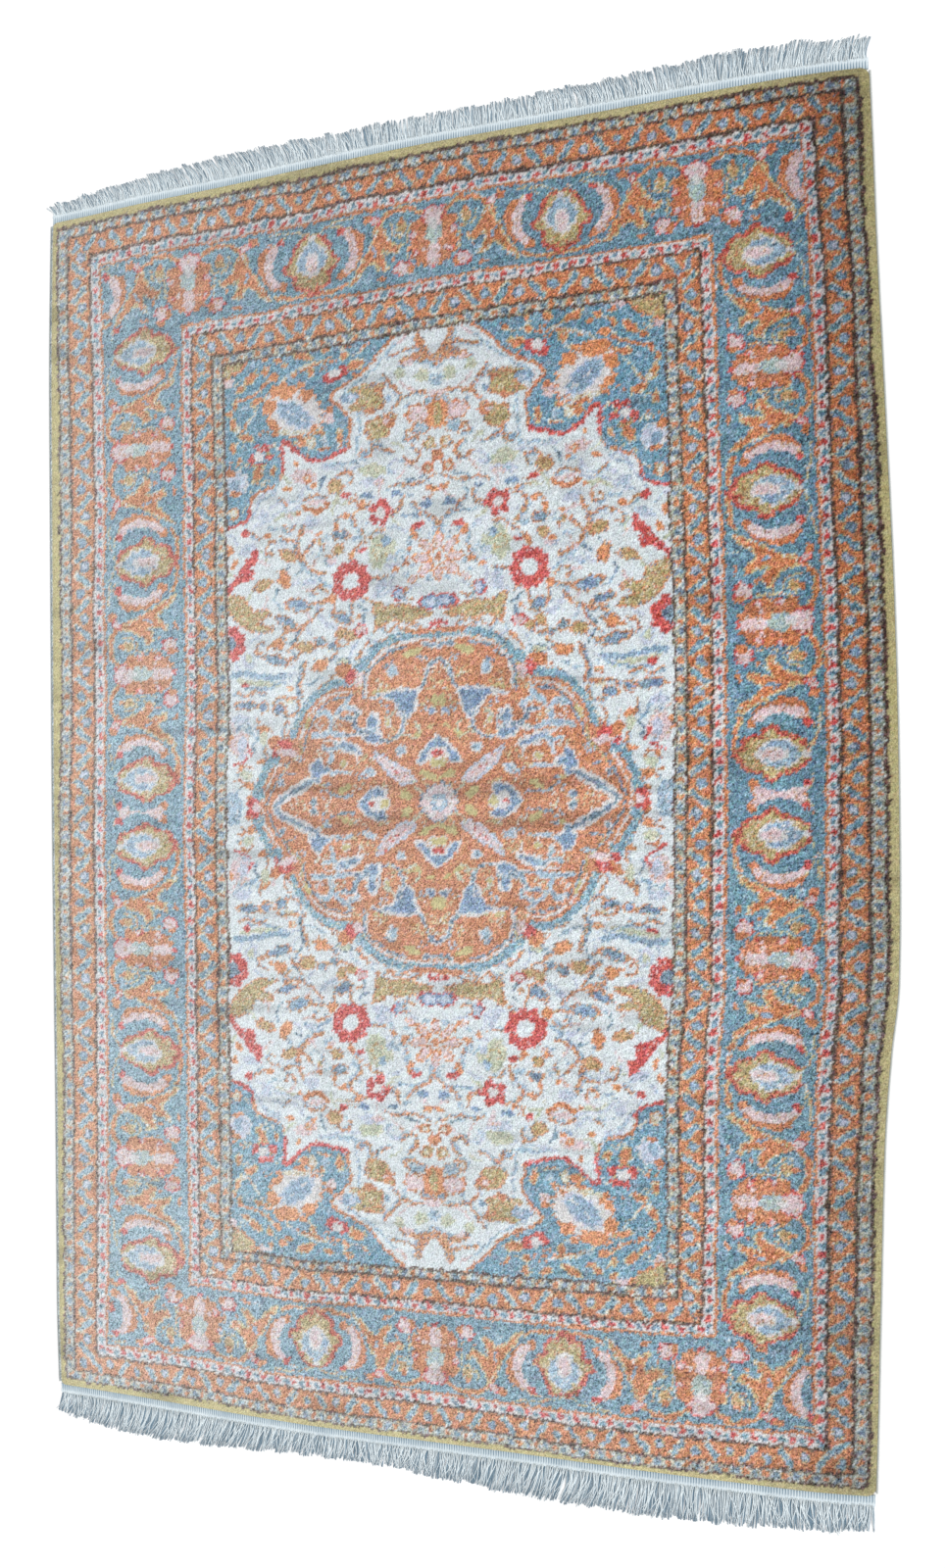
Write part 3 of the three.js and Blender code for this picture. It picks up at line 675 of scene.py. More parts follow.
medallionSteps = [
    ("shape", "rust", [(0,237, 30,239, 56,235, 82,228, 98,217, 108,206, 122,197, 128,176, 150,174,
        174,168, 193,155, 206,140, 215,122, 226,104, 224,92, 244,78, 256,72, 266,54, 274,38, 281,24,
        285,10, 285,-10, 256,-72, 224,-92, 206,-140, 150,-174, 122,-197, 56,-235, -10,-237, -40,-100,
        -40,100, -10,237)]),
    ("line", "azure", [(6, 0,228, 22,228, 42,227), (12, 42,230, 58,229, 78,222, 95,211, 106,200, 118,193),
        (11, 130,170, 150,171, 172,165, 190,151, 204,134, 212,119, 218,103),
        (12, 243,73, 255,62, 263,45, 272,28, 276,10, 278,0)]),
    ("line", "teal", [(4, 250,66, 262,48, 270,30, 276,14), (3, 60,230, 80,224, 98,212)]),
    ("line", "white", [(3.8, 0,222, 30,224, 54,220, 77,212, 91,202, 101,188, 106,166, 105,150),
        (3.4, 128,158, 148,158, 169,152, 184,140, 195,124, 203,108, 207,96),
        (3, 236,64, 246,52, 254,36, 262,20, 266,0)]),
    ("line", "slate", [(3.4, 46,216, 66,212, 82,202, 96,192, 107,184, 109,166, 110,148),
        (3.4, 126,151, 146,151, 168,145, 181,131, 192,113, 200,96, 204,80, 220,68, 230,60),
        (3.4, 230,56, 242,38, 251,22, 257,4)]),
    ("spot", "azure", [(246,68, 9,8, 20), (272,19, 9,9), (112,190, 9,6, -35)]),
    ("line", "olive", [(3, 112,186, 112,160), (3, 206,100, 206,78, 222,66, 232,50)]),
    # ogee round the upright arm
    ("line", "slate in white", [(4.4, 0,196, 12,187, 17,175, 21,164, 30,152),
        (3, 30,154, 50,157, 72,153, 98,147)]),
    ("shape", "navy in white", [
        (28,154, 50,156, 76,153, 84,147, 68,142, 62,130, 58,119, 46,114, 36,124, 32,140)]),
    ("line", "slate in white", [(5, 0,214, 20,216)]),
    ("spot", "gold", [(37,207, 14,5.5, -20), (5,140, 5,9), (30,93, 8,4.5, -50), (14,37, 15,4.5, 25),
        (47,12, 10,5.5, 38), (137,22, 12,4.5, -28), (88,157, 9,3, -10), (196,118, 3,10, 20),
        (170,30, 8,3, 10), (12,104, 6,3.5)]),
    ("spot", "navy in white", [(9,126, 7,6)]),
    ("spot", "sky in white", [(67,183, 9,10), (100,45, 10,7), (55,73, 9,7)]),
    # ring with an olive heart, and the blue pieces beside it
    ("line", "slate in white", [(3.6, 56,132, 51,119, 51,104, 58,93, 70,87, 86,88),
        (2, 90,124, 86,112, 84,100)]),
    ("spot", "gold in white", [(74,112, 5,7), (139,59, 7,6)]),
    ("shape", "navy in white", [(96,128, 104,120, 105,108, 112,98, 106,87, 88,84, 83,94, 91,104, 87,114),
        (176,70, 190,62, 193,44, 186,34, 177,32, 175,42, 160,47, 156,44, 164,55, 172,60),
        (110,72, 128,74, 152,82, 154,90, 136,91, 120,84)]),
    ("spot", "sky", [(95,104, 5,6), (137,82, 6,3, 20)]),
    ("line", "slate in white", [(6, 104,101, 119,107, 124,118, 117,129), (5, 124,122, 142,123),
        (6, 190,36, 205,29, 221,20, 238,10, 248,0), (4, 112,100, 130,98, 146,101)]),
    ("line", "white", [(5, 186,42, 204,36, 221,26, 238,15, 250,3),
        (4, 192,30, 205,22, 222,13, 236,4, 244,0)]),
    ("line", "slate", [(5, 188,38, 205,30, 221,21, 238,10, 248,0)]),
    ("line", "sky in white", [(6, 131,146, 139,139, 148,133, 151,126),
        (6, 178,128, 167,133, 158,122, 159,106), (7, 140,98, 158,103, 186,101),
        (5, 150,90, 152,82, 164,80, 172,84), (5, 129,46, 144,48, 158,46), (6, 157,74, 160,62),
        (5, 118,132, 132,136)]),
    ("line", "white", [(2.6, 176,121, 182,116, 176,110, 170,114), (2.6, 112,97, 127,96),
        (3, 118,56, 118,66, 124,74, 146,75), (2.4, 152,92, 166,94, 172,90), (2.4, 126,134, 136,128)]),
    ("spot", "slate in white", [(235,35, 5,6), (186,7, 7,7), (165,30, 5,3)]),
    ("line", "slate", [(3, 124,12, 142,12, 162,17), (3, 214,46, 228,50), (3, 66,196, 80,188)]),
    # palmettes on the axes, almond petals and the heart
    ("shape", "navy in white", [(0,90, 11,84, 21,75, 30,62, 31,54, 21,54, 12,62, 0,66, -20,60, -20,80),
        (74,19, 88,24, 102,18, 113,7, 120,-4, 102,-18, 88,-24, 74,-19, 84,0)]),
    ("spot", "white", [(6,69, 10,6, -20), (92,2, 9,11)]),
    ("spot", "red", [(3,66, 6,4), (97,0, 4,4)]),
    ("spot", "gold in white", [(4,54, 11,7), (78,0, 8,9)]),
    ("shape", "pink in lavender", [(33,32, 42,27, 56,29, 70,40, 84,54, 93,74, 80,67, 62,56, 46,46)]),
    ("spot", "red", [(60,45, 3,2.4, 40), (68,50, 2.4,2), (77,65, 2,1.6), (50,38, 2,1.6)]),
    ("spot", "pink in slate", [(0,0, 27,27)]),
    ("spot", "white", [(10,16, 4,3), (17,8, 3,4)]),
    ("spot", "sky in blue", [(0,0, 13,12)]),
    ("spot", "white", [(0,0, 5,5)]),
    # flowers in the cusps
    ("spot", "orange", [(138,188, 13,11, 20), (244,93, 12,9, 30), (286,14, 6,5)]),
    ("spot", "red", [(127,178, 11,10, 20), (229,89, 12,8, 25), (245,78, 6,6), (280,6, 10,9)]),
    ("spot", "pink", [(118,173, 7,10, 10), (226,79, 15,6, 10), (275,2, 5,5)]),
]

spandrelSteps = [
    ("line", "cream", [(4, 163,627, 185,623, 205,618, 226,606), (4, 242,614, 262,599, 280,591, 302,588),
        (3, 150,504, 176,501), (3, 264,574, 279,556, 286,544), (3, 242,632, 252,618),
        (3, 100,632, 122,628, 140,640)]),
    ("line", "orange", [(3, 168,623, 190,619, 212,611), (4, 250,605, 268,594, 296,587),
        (3, 284,552, 292,540), (3, 246,628, 254,616), (3, 158,502, 172,500), (4, 96,640, 108,632)]),
    ("spot", "orange in straw", [(160,642, 9,6, -30), (196,638, 17,7, 24), (183,612, 6,8), (232,635, 7,6),
        (253,622, 5,8), (275,615, 13,7, -40), (264,583, 14,5, -15), (301,582, 5,8), (117,613, 15,8, -10),
        (303,552, 6,14, -20), (284,533, 13,6, 15), (305,519, 6,10), (243,480, 5,8, 20),
        (267,478, 8,15, 20), (142,513, 6,13), (130,644, 8,6), (102,596, 7,5), (292,602, 8,5, -20),
        (134,628, 6,6), (310,570, 5,6), (196,513, 14,7), (252,640, 5,4), (170,524, 6,4, 20),
        (222,628, 6,4)]),
    ("spot", "cream", [(297,545, 6,6), (185,513, 7,10), (190,600, 4,3), (260,596, 3,3)]),
    ("spot", "sky", [(232,590, 5,3), (165,512, 5,8), (134,592, 6,4), (216,612, 5,4), (284,576, 5,4)]),
    ("spot", "white in amber", [(210,560, 48,34, 35)]),
    ("spot", "amber", [(190,582, 11,9), (226,592, 22,11, 5), (247,573, 11,10, -30), (242,545, 13,6, 35),
        (240,612, 8,6), (199,596, 6,5)]),
    ("spot", "cream", [(214,531, 24,4, 8)]),
    ("spot", "orange", [(182,534, 5,4), (240,532, 5,4), (206,524, 8,3)]),
    ("spot", "blue in lavender", [(209,556, 32,16, 38)]),
    ("line", "white", [(3, 192,543, 202,548), (3, 210,556, 218,563)]),
    ("spot", "pink", [(157,545, 8,10), (262,648, 13,5), (312,616, 7,10)]),
    ("spot", "orange", [(157,554, 6,5)]),
    ("spot", "red", [(137,606, 9,9), (152,600, 12,9), (252,514, 9,5), (266,515, 8,5), (248,500, 7,6),
        (276,500, 6,8), (262,491, 7,4)]),
    ("spot", "white", [(147,605, 8,7), (264,503, 8,7)]),
    ("spot", "olive", [(251,507, 3,2), (260,489, 6,2), (272,491, 3,3)]),
    ("spot", "lavender in white", [(300,469, 17,19, -10)]),
    ("spot", "blue", [(304,466, 7,9)]),
    ("spot", "orange", [(311,484, 8,6), (303,453, 9,4, 10)]),
    ("spot", "cream in orange", [(307,425, 9,9)]),
    ("shape", "olive in orange", [(273,652, 279,640, 290,630, 304,624, 320,619, 320,654)]),
]


def pairs(row):  # a flat row of numbers as points
    return [(row[k], row[k + 1]) for k in range(0, len(row), 2)]


def drawSteps(panel, steps):
    for kind, dyes, rows in steps:
        heart, _, rim = dyes.partition(" in ")
        heart, _, beside = heart.partition(" by ")
        for row in rows:
            if kind == "line":
                width, points = row[0], pairs(row[1:])
                if beside:
                    panel.line(beside, np.array(points) + pen["beside"], width)
                if rim:
                    panel.line(rim, points, width + pen["lineRim"])
                panel.line(heart, points, width)
            elif kind == "shape":
                panel.shape(heart, pairs(row), rim, pen["shapeRim"])
            else:
                turn = row[4] if len(row) > 4 else 0
                teeth = max(5, round((row[2] + row[3]) / pen["tooth"]))
                rimWidth = min(pen["spotRim"], row[3] * pen["spotRimShare"])
                panel.spot(heart, row[:2], row[2:4], turn, rim, rimWidth, teeth)


fillings = {
    "bare": 0.9,  # share of bare ground that a filling needs round it
    "need": {"leaf": 13, "scroll": 12, "speck": 6, "wisp": 7.5},  # how far round it, mm
    "size": (0.75, 1.25), "turn": (-70, 70),
    "lines": {  # points ahead of the place and beside it, mm
        "leaf": [[(-12, -7), (-4, -2)], [(-13, -5), (-5, 1), (8, 0)]],
        "scroll": [[(-13, 0), (-4, 7), (7, 4), (8, -4), (2, -5)]], "wisp": [[(-12, 0), (0, 3), (12, 0)]],
    },
}


def groundFree(panel, at, size, ground):  # how much bare ground lies round a place
    picked, _, _ = panel.near([at], size)
    if not len(picked):
        return 0
    return (panel.chart[panel.knots[picked]] == hanks.index(ground)).mean()


def fillGround(panel, ground, low, high, tries, rng, kinds):  # leaves and wisps where the ground is bare
    for _ in range(tries):
        at = rng.uniform(low, high)
        name, hues = kinds[rng.integers(len(kinds))]
        size, turn, hand = rng.uniform(*fillings["size"]), rng.uniform(*fillings["turn"]), rng.choice([-1, 1])
        yarn = hues[rng.integers(1000) % len(hues)]
        if groundFree(panel, at, fillings["need"][name] * size, ground) < fillings["bare"]:
            continue
        way = np.array([np.cos(np.radians(turn)), np.sin(np.radians(turn))])
        side = np.array([-way[1], way[0]]) * hand
        lines = [[at + way * ahead * size + side * aside for ahead, aside in line]
                 for line in fillings["lines"].get(name, ())]
        if name == "leaf":
            panel.line("sky", lines[0], 3)
            panel.line("tan", lines[1], 3.4)
            panel.spot(yarn, at + way * 3 * size, (10.5 * size, 5.4 * size), turn, rim="tan", rimWidth=2.2)
        elif name == "scroll":
            panel.line("sky", np.array(lines[0]) + pen["beside"], 3.6)
            panel.line(yarn, lines[0], 4)
        elif name == "wisp":
            panel.line(yarn, lines[0], 4.4, taper=0.6)
        else:
            for k in range(4):
                panel.disc(yarn, at + way * (k - 1.5) * 5 * size + side * (3 if k % 2 else -2), 2.4)


def strayed(x, y, rng):  # the places as the weaver's hand had them
    strays = []
    for seed in (6, 7):
        chance = rng.uniform(-1, 1, x.shape)
        strays.append(knots["stray"] * chance + knots["ragged"] * slowNoise(x, y, knots["raggedSize"], seed))
    wanders = [knots["wander"] * slowNoise(x, y, size, seed)
               for size, seed in zip(knots["wanderSize"], (3, 4))]
    return x + strays[0] + wanders[0], y + strays[1] + wanders[1]


def bandDepths(x, y):  # how many bands a knot lies in from each edge
    near, past, deep = driftDepths
    ripple = bandRipple["height"] * slowNoise(x, y, bandRipple["size"], 5)
    depths = {}
    inFrom = {"left": x, "right": knots["width"] - x, "bottom": y, "top": knots["length"] - y}
    for side, far in inFrom.items():
        along = y if side in sides else x
        places = driftStart + driftStep * np.arange(len(bandDrift[side]))
        outer, middle, inner = [np.interp(along, places, column) for column in np.array(bandDrift[side]).T]
        drift = np.where(far < past, outer + (middle - outer) * np.clip((far - near) / (past - near), 0, 1),
                         middle + (inner - middle) * np.clip((far - past) / (deep - past), 0, 1))
        far = far - drift * np.clip(far / bandRipple["settle"], 0, 1) + ripple
        depths[side] = np.interp(far, bandStarts[side], np.arange(len(bandNames)))
    return depths


def quarterPlace(x, y):  # the field, folded four ways about its middle
    fit = fieldFit
    middle = np.interp(y, fit["middleAt"], fit["middle"])
    right = np.interp(y, fit["rightAt"], fit["right"])
    u = np.where(x > middle, (x - middle) / (right - middle), (middle - x) / (middle - fit["left"]))
    up = y - fit["middleUp"]
    v = np.where(up > 0, up / fit["above"], -up / fit["below"])
    return u * fit["width"], v * fit["length"]


def drawField(field, rng):
    field.dye("lake", np.arange(len(field.u)))
    drawSteps(field, spandrelSteps)
    fillGround(field, "lake", (90, 420), (316, 650), 500, rng, [
        ("speck", ["orange", "cream", "rust", "slate"]), ("wisp", ["slate", "blue"])])
    field.shape("ivory", ivoryEdge)
    field.line("rust", ivoryEdge[1:23], 4.5)
    field.line("red", ivoryEdge[11:16] + [(229, 500), (228, 478)], 5.5)
    field.line("red", ivoryEdge[20:24], 5)
    drawSteps(field, ivorySteps)
    for at, size, heart, petals in (((84, 403), 19, "white", 5), ((316, 238), 28, "slate", 8),
                                    ((128, 312), 31, "ivory", 9), ((6, 240), 10, "white", 5)):
        field.flower("red", at, size, heart, petals)
    fillGround(field, "ivory", (4, -210), (316, 640), 2600, rng, [
        ("leaf", ["slate", "olive", "amber"]), ("scroll", ["tan", "tan", "lavender"]),
        ("wisp", ["lavender", "sky", "sage", "pink"])])
    fillGround(field, "ivory", (4, -210), (316, 470), 700, rng, [
        ("wisp", ["lavender", "sky", "slate"]), ("speck", ["tan", "sky", "lavender"])])
    drawSteps(field, medallionSteps)
    fillGround(field, "rust", (4, 4), (262, 216), 320, rng, [
        ("wisp", ["straw", "orange", "sage"]), ("speck", ["sky", "straw", "cream"])])


def knotChart():
    rng = np.random.default_rng(knots["seed"])
    s, t = np.meshgrid(np.arange(knots["across"] + 1) / knots["across"],
                       np.arange(knots["along"] + 1) / knots["along"])
    x, y = strayed(s * knots["width"], t * knots["length"], rng)
    edgeIn = bandDepths(x, y)
    depth = np.minimum.reduce(list(edgeIn.values()))
    chart = np.array([hanks.index(name) for name in bandNames])[depth.astype(int)]
    sideOf = np.argmin(np.stack(list(edgeIn.values())), 0)
    for number, side in enumerate(edgeIn):
        mine = (sideOf == number) & (depth < fieldBand)
        part, along = chart[mine], y if side in sides else x
        bandStripes(part, depth[mine], along[mine], np.diff(bandStarts[side]), stripes["barPitch"][side])
        chart[mine] = part
    chart[:, 1], chart[:, 0] = hanks.index("grey"), hanks.index("slate")  # the left edge: a grey column, and a slate column outermost as painted shadow under the edge
    flat = chart.ravel()
    mainBorder(flat, depth, edgeIn, x, y)
    drawField(Panel(flat, depth >= fieldBand, *quarterPlace(x, y)), rng)
    border = Panel(flat, (depth >= mainBand) & (depth < mainBand + 1), x, y)
    fillGround(border, "teal", (60, 60), (1150, 1745), 3600, rng, [
        ("speck", ["sky", "blue"]), ("wisp", ["blue", "azure", "slate"])])
    drawn, chance = flat.copy(), rng.uniform(0, 1, len(flat))
    for yarn, others in shading.items():
        mine = drawn == hanks.index(yarn)
        for other, share in others.items():
            flat[mine & (chance < share)] = hanks.index(other)
            chance = np.where(mine, chance - share + (chance < share), chance)
    return flat.reshape(chart.shape)


# The pile, as four lengths that meet edge to edge

pile = {
    "thickness": 8, "edgeThickness": 5.6, "rollWidth": 9,  # mm
    "waves": [(9.1, 2.7, 0.22), (-5.2, 14.3, 0.22)],  # turns over the width and the length, and height
    "knotRelief": 0.3, "tuftRelief": 0.34, "tuftSize": 7, "edgeRelief": 0.35,  # mm, and share at the edge
    "knot": 2.5,  # mm
    "lengths": 4,
    "wallRings": [(0.9, 0.72), (0.7, 0.3), (-0.6, 0)],  # mm outward, and share of the edge's height
    "smooth": 1.05,  # radians
    "strength": 1.1,  # of the dyes under this light
    "knotShade": 18, "knotHue": 6,  # how far one knot differs from the next
    "sparkShare": 0.08, "spark": 18,  # knots whose cut tips catch the light
    "rough": (1.2, -1.1), "roughOver": (0.88, 0.24), "roughGold": 0.6,  # pale wool shows its knots less
    "sheenByDye": {"teal": 1.35, "gold": 0.4},  # dyes that take more or less of the painted sheen than the rest
    "creaseShade": 0.22, "creaseShadeSize": 15, "creaseShadeLong": 6,  # painted shade: darker streaks across the rug, as where it creases
    "foldShades": [(0.4815, 0.12), (0.510, 0.12)], "foldShadeWidth": 0.006,  # painted shade along old folds: place on the length, and how dark
    "foldShadeWave": (0.004, 9), "foldShadeHalf": 0.3,
    "fuzz": 0.1,  # share of a knot's colour that its neighbours give
    # painted sheen: the wool is mixed towards a pale blue-grey, more to the left and the bottom; painted
    # shade: darker towards the right and the top
    "sheenColour": (222, 230, 234), "sheenBase": -0.05, "sheenLeft": 0.4, "sheenBottom": 0.24,
    "sheenCloud": 0.05, "sheenCloudSize": 260,
    "paintedShadeRight": 0.14, "paintedShadeRightAt": (0.88, 0.08), "paintedShadeTop": 0.12, "paintedShadeTopAt": (0.4, 1.5),
}


def pileFace(s, t):  # height of the face, mm
    fromEdge = np.minimum(np.minimum(s, 1 - s) * outline["width"], np.minimum(t, 1 - t) * outline["length"])
    roll = ease(np.clip(fromEdge / pile["rollWidth"], 0, 1))
    uneven = sum(height * np.sin(across * s + along * t) for across, along, height in pile["waves"])
    return pile["edgeThickness"] * (1 - roll) + (pile["thickness"] + uneven) * roll, roll


def paintedSheenAndShade(s, t):  # painted sheen, paler to the left and the bottom, and painted shade, darker to the right, the top, in creases and along folds
    x, y = s * knots["width"], t * knots["length"]
    # painted sheen: paler towards the left and the bottom
    sheenShare = pile["sheenBase"] + pile["sheenLeft"] * (1 - s) + pile["sheenBottom"] * (1 - t) ** 2 * (0.3 + 0.7 * s)
    sheenShare = sheenShare + pile["sheenCloud"] * slowNoise(x, y, pile["sheenCloudSize"], 8)
    (rightAt, rightSpan), (topSpan, topAt) = pile["paintedShadeRightAt"], pile["paintedShadeTopAt"]
    # painted shade: darker towards the right edge and the top
    toRight = pile["paintedShadeRight"] * np.clip((s - rightAt) / rightSpan, 0, 1)
    depth = 1 - toRight - pile["paintedShadeTop"] * np.clip(t / topSpan - topAt, 0, 1) * (0.4 + 0.6 * s)
    # painted shade: darker streaks across the rug
    creaseShade = np.clip(slowNoise(x / pile["creaseShadeLong"], y, pile["creaseShadeSize"], 12) - 0.4, 0, 1)
    depth = depth * (1 - pile["creaseShade"] * creaseShade)
    swing, turns = pile["foldShadeWave"]
    inFold = np.clip(5 * (pile["foldShadeHalf"] - np.abs(s - 0.5)), 0, 1)
    for place, dark in pile["foldShades"]:  # painted shade along an old fold across the medallion
        foldShade = np.exp(-((t - place - swing * np.sin(turns * s)) / pile["foldShadeWidth"]) ** 2) * inFold
        depth = depth * (1 - dark * foldShade)
    return sheenShare[..., None], depth[..., None]


def woolColours(chart):  # linear colour of each knot and how rough it looks
    rng = np.random.default_rng(knots["seed"] + 1)
    rows, columns = chart.shape
    t, s = np.mgrid[0:1:rows * 1j, 0:1:columns * 1j]
    # painted sheen and painted shade over the rug
    sheenShare, depth = paintedSheenAndShade(s, t)
    sheenByDye = np.array([pile["sheenByDye"].get(name, 1) for name in hanks])[chart][..., None]
    sheenShare = sheenShare * np.where(sheenShare > 0, sheenByDye, 1)
    dyed = np.array([yarns[name] for name in hanks], float)[chart]
    (rough, paler), (left, toRight) = pile["rough"], pile["roughOver"]
    rough = rough + paler * (dyed.mean(2, keepdims=True) / 255) ** 2
    gold = np.where(chart == hanks.index("gold"), pile["roughGold"], 1)
    rough = rough * (left + toRight * s[..., None]) * gold[..., None]
    dyed = dyed + rough * pile["knotShade"] * rng.normal(0, 1, chart.shape)[..., None]
    dyed = dyed + rough * pile["knotHue"] * rng.normal(0, 1, dyed.shape)
    dyed = dyed + rough * pile["spark"] * (rng.uniform(0, 1, chart.shape) < pile["sparkShare"])[..., None]
    # the painted sheen and the painted shade go into each knot's colour
    tint = (dyed * (1 - sheenShare) + np.array(pile["sheenColour"], float) * sheenShare) * depth
    around = sum(np.roll(tint, step, axis) for step in (1, -1) for axis in (0, 1)) / 4
    tint = tint * (1 - pile["fuzz"]) + around * pile["fuzz"]  # neighbouring tufts lean over each other
    tint = np.clip(linear(np.clip(tint, 0, 250)) * pile["strength"], 0.01, 1)
    return np.concatenate([tint, rough], 2)


def pointsOf(mesh):
    flat = np.zeros(len(mesh.vertices) * 3, np.float32)
    mesh.vertices.foreach_get("co", flat)
    return flat.reshape(-1, 3).astype(float)


bakeMap = {  # where each part starts on the map, a step to the far one of two, and how long it is
    "across": (0.004, 0, 0.992), "face": (0.30, 0, 0.695), "back": (0.004, 0, 0.27),
    "ends": (0.01, 0.31, 0.29), "sides": (0.62, 0.19, 0.17), "walls": (0.278, 0, 0.005),
}


def onMap(name, share, far=0):
    start, step, length = bakeMap[name]
    return start + step * far + length * share


def layBakeMap(mesh, s, t, level):  # the face above, the underside below it, the walls in a strip between
    corners = np.zeros(len(mesh.loops), int)
    mesh.loops.foreach_get("vertex_index", corners)
    sizes = np.zeros(len(mesh.polygons), int)
    mesh.polygons.foreach_get("loop_total", sizes)
    owner = np.repeat(np.arange(len(sizes)), sizes)
    s, t, level = s[corners], t[corners], level[corners]
    meanS, meanT, meanLevel = [np.bincount(owner, value) / sizes for value in (s, t, level)]
    isBack = meanLevel > len(pile["wallRings"]) - 0.01
    under = isBack[owner]
    wall = (meanLevel[owner] > 0.01) & ~under
    hair = 1e-6
    onSide = wall & ((meanS[owner] < hair) | (meanS[owner] > 1 - hair))
    far = np.where(onSide, meanS[owner] > 0.5, meanT[owner] > 0.5)
    wallU = np.where(onSide, onMap("sides", t, far), onMap("ends", s, far))
    u = np.where(wall, wallU, onMap("across", s))
    v = np.where(wall, onMap("walls", level), np.where(under, onMap("back", t), onMap("face", t)))
    layer = mesh.uv_layers.new(name="OFBake")
    layer.data.foreach_set("uv", np.stack([u, v], 1).ravel().astype(np.float32))
    return np.flatnonzero(isBack)


def makePile(number, colours, relief, wool, back):
    rows = knots["along"] // pile["lengths"]
    first = number * rows
    bpy.ops.object.select_all(action="DESELECT")
    bpy.ops.mesh.primitive_grid_add(x_subdivisions=knots["across"], y_subdivisions=rows, size=1)
    piece = bpy.context.object
    piece.name = f"pile_length_{number + 1}"
    bpy.ops.object.mode_set(mode="EDIT")
    bpy.ops.mesh.select_mode(type="EDGE")
    bpy.ops.mesh.select_all(action="SELECT")
    bpy.ops.mesh.region_to_loop()
    for _ in pile["wallRings"]:
        bpy.ops.mesh.extrude_region_move(TRANSFORM_OT_translate={"value": (0, 0, -1)})
    bpy.ops.mesh.edge_face_add()
    bpy.ops.mesh.select_all(action="SELECT")
    bpy.ops.mesh.normals_make_consistent(inside=False)
    bpy.ops.object.mode_set(mode="OBJECT")
    mesh = piece.data
    plan = pointsOf(mesh)
    column = np.rint((plan[:, 0] + 0.5) * knots["across"]).astype(int)
    row = first + np.rint((plan[:, 1] + 0.5) * rows).astype(int)
    level = np.rint(-plan[:, 2]).astype(int)
    s, t = column / knots["across"], row / knots["along"]
    x, y = clothPoint(*roundCorner(s, t))
    height, roll = pileFace(s, t)
    top = height + relief[row, column] * (pile["edgeRelief"] + (1 - pile["edgeRelief"]) * roll)
    out, share = np.array([(0, 1), *pile["wallRings"]]).T[:, level]
    x += out * ((column == knots["across"]) * 1.0 - (column == 0))
    y += out * ((row == knots["along"]) * 1.0 - (row == 0))
    z = np.where(level == 0, top, share * height)
    place = np.stack([(x + shift[0]) * mm, (y + shift[1]) * mm, z * mm], 1)
    mesh.vertices.foreach_set("co", place.ravel().astype(np.float32))
    dye = mesh.color_attributes.new(name="wool", type="FLOAT_COLOR", domain="POINT")
    dye.data.foreach_set("color", colours[row, column].astype(np.float32).ravel())
    under = layBakeMap(mesh, s, (row - first) / rows, level)
    mesh.materials.append(wool)
    mesh.materials.append(back)
    for face in under:
        mesh.polygons[face].material_index = 1
    mesh.update()
    bpy.ops.object.shade_smooth_by_angle(angle=pile["smooth"])
    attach(piece, "root")
    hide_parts("pile")
    return piece


woolGrain = {
    "cells": 400.0, "cellsApart": 0.85, "tufts": 420, "fibres": 900, "clouds": 38, "lots": 9,  # turns a metre
    "lotStretch": (0.6, 7.0, 1.0), "cloudShade": 0.26, "lotShade": 0.2,
    "tuftShade": 1.9, "fibreShade": 1.7, "creviceShade": 0.9,
    "bumpDepth": 0.0024, "bumpStrength": 0.9,
}
rugBackLook = {
    "rows": 190.0, "bend": 1.2, "blotch": 14, "bumpDepth": 0.0006,
    "dull": (0.32, 0.38, 0.42, 1), "warm": (0.52, 0.34, 0.22, 1), "bare": (0.62, 0.6, 0.55, 1),
}


def pileWool():
    recipe = Recipe("pileWool", Roughness=0.93, Sheen_Weight=0.12, Sheen_Roughness=0.5,
                    Specular_IOR_Level=0.15)
    place = recipe.place()
    grain = woolGrain
    sockets = {"Vector": place, "Scale": grain["cells"], "Randomness": grain["cellsApart"]}
    cells = recipe.add("ShaderNodeTexVoronoi", {}, sockets)
    tufts = recipe.noise(place, grain["tufts"], 1.0)
    fibres = recipe.noise(place, grain["fibres"], 1.0)
    clouds = recipe.noise(place, grain["clouds"], 3.0, 0.6)
    lots = recipe.noise(recipe.stretched(place, grain["lotStretch"]), grain["lots"])  # along the rows
    shade = (tufts - 0.5) * grain["tuftShade"] + (fibres - 0.5) * grain["fibreShade"]
    # painted shade: darker at the cells' edges, in the crevices between the tufts
    shade = (shade - (cells - 0.4) * grain["creviceShade"]) * recipe.attribute("wool", "Alpha") + 1
    shade = shade + (clouds - 0.5) * grain["cloudShade"] + (lots - 0.5) * grain["lotShade"]
    recipe.paint(recipe.mix(1.0, recipe.attribute("wool"), recipe.grey(shade), "MULTIPLY"))
    recipe.bump((1 - cells) * 0.8 + tufts * 0.5 + fibres * 0.3, grain["bumpDepth"], grain["bumpStrength"])
    return recipe.material


def rugBack():  # the underside: rows of knot loops
    recipe = Recipe("rugBack", Roughness=0.95)
    place = recipe.place()
    sockets = {"Vector": place, "Scale": rugBackLook["rows"], "Distortion": rugBackLook["bend"]}
    rows = recipe.add("ShaderNodeTexWave", {"bands_direction": "Y"}, sockets)
    colour = recipe.mix(recipe.noise(place, rugBackLook["blotch"]), rugBackLook["dull"], rugBackLook["warm"])
    recipe.paint(recipe.mix(rows * 0.5, colour, rugBackLook["bare"]))
    recipe.bump(rows, rugBackLook["bumpDepth"])
    return recipe.material


chart = knotChart()
print("knot chart drawn")
tuftRng = np.random.default_rng(23)
tuftX, tuftY = np.meshgrid(*(np.arange(knots[way] + 1) * pile["knot"] for way in ("across", "along")))
relief = (pile["knotRelief"] * tuftRng.uniform(-1, 1, chart.shape)
          + pile["tuftRelief"] * slowNoise(tuftX, tuftY, pile["tuftSize"], 31))
colours = woolColours(chart)
woolLook, backLook = pileWool(), rugBack()
pileLengths = [makePile(number, colours, relief, woolLook, backLook) for number in range(pile["lengths"])]
print("pile laid")


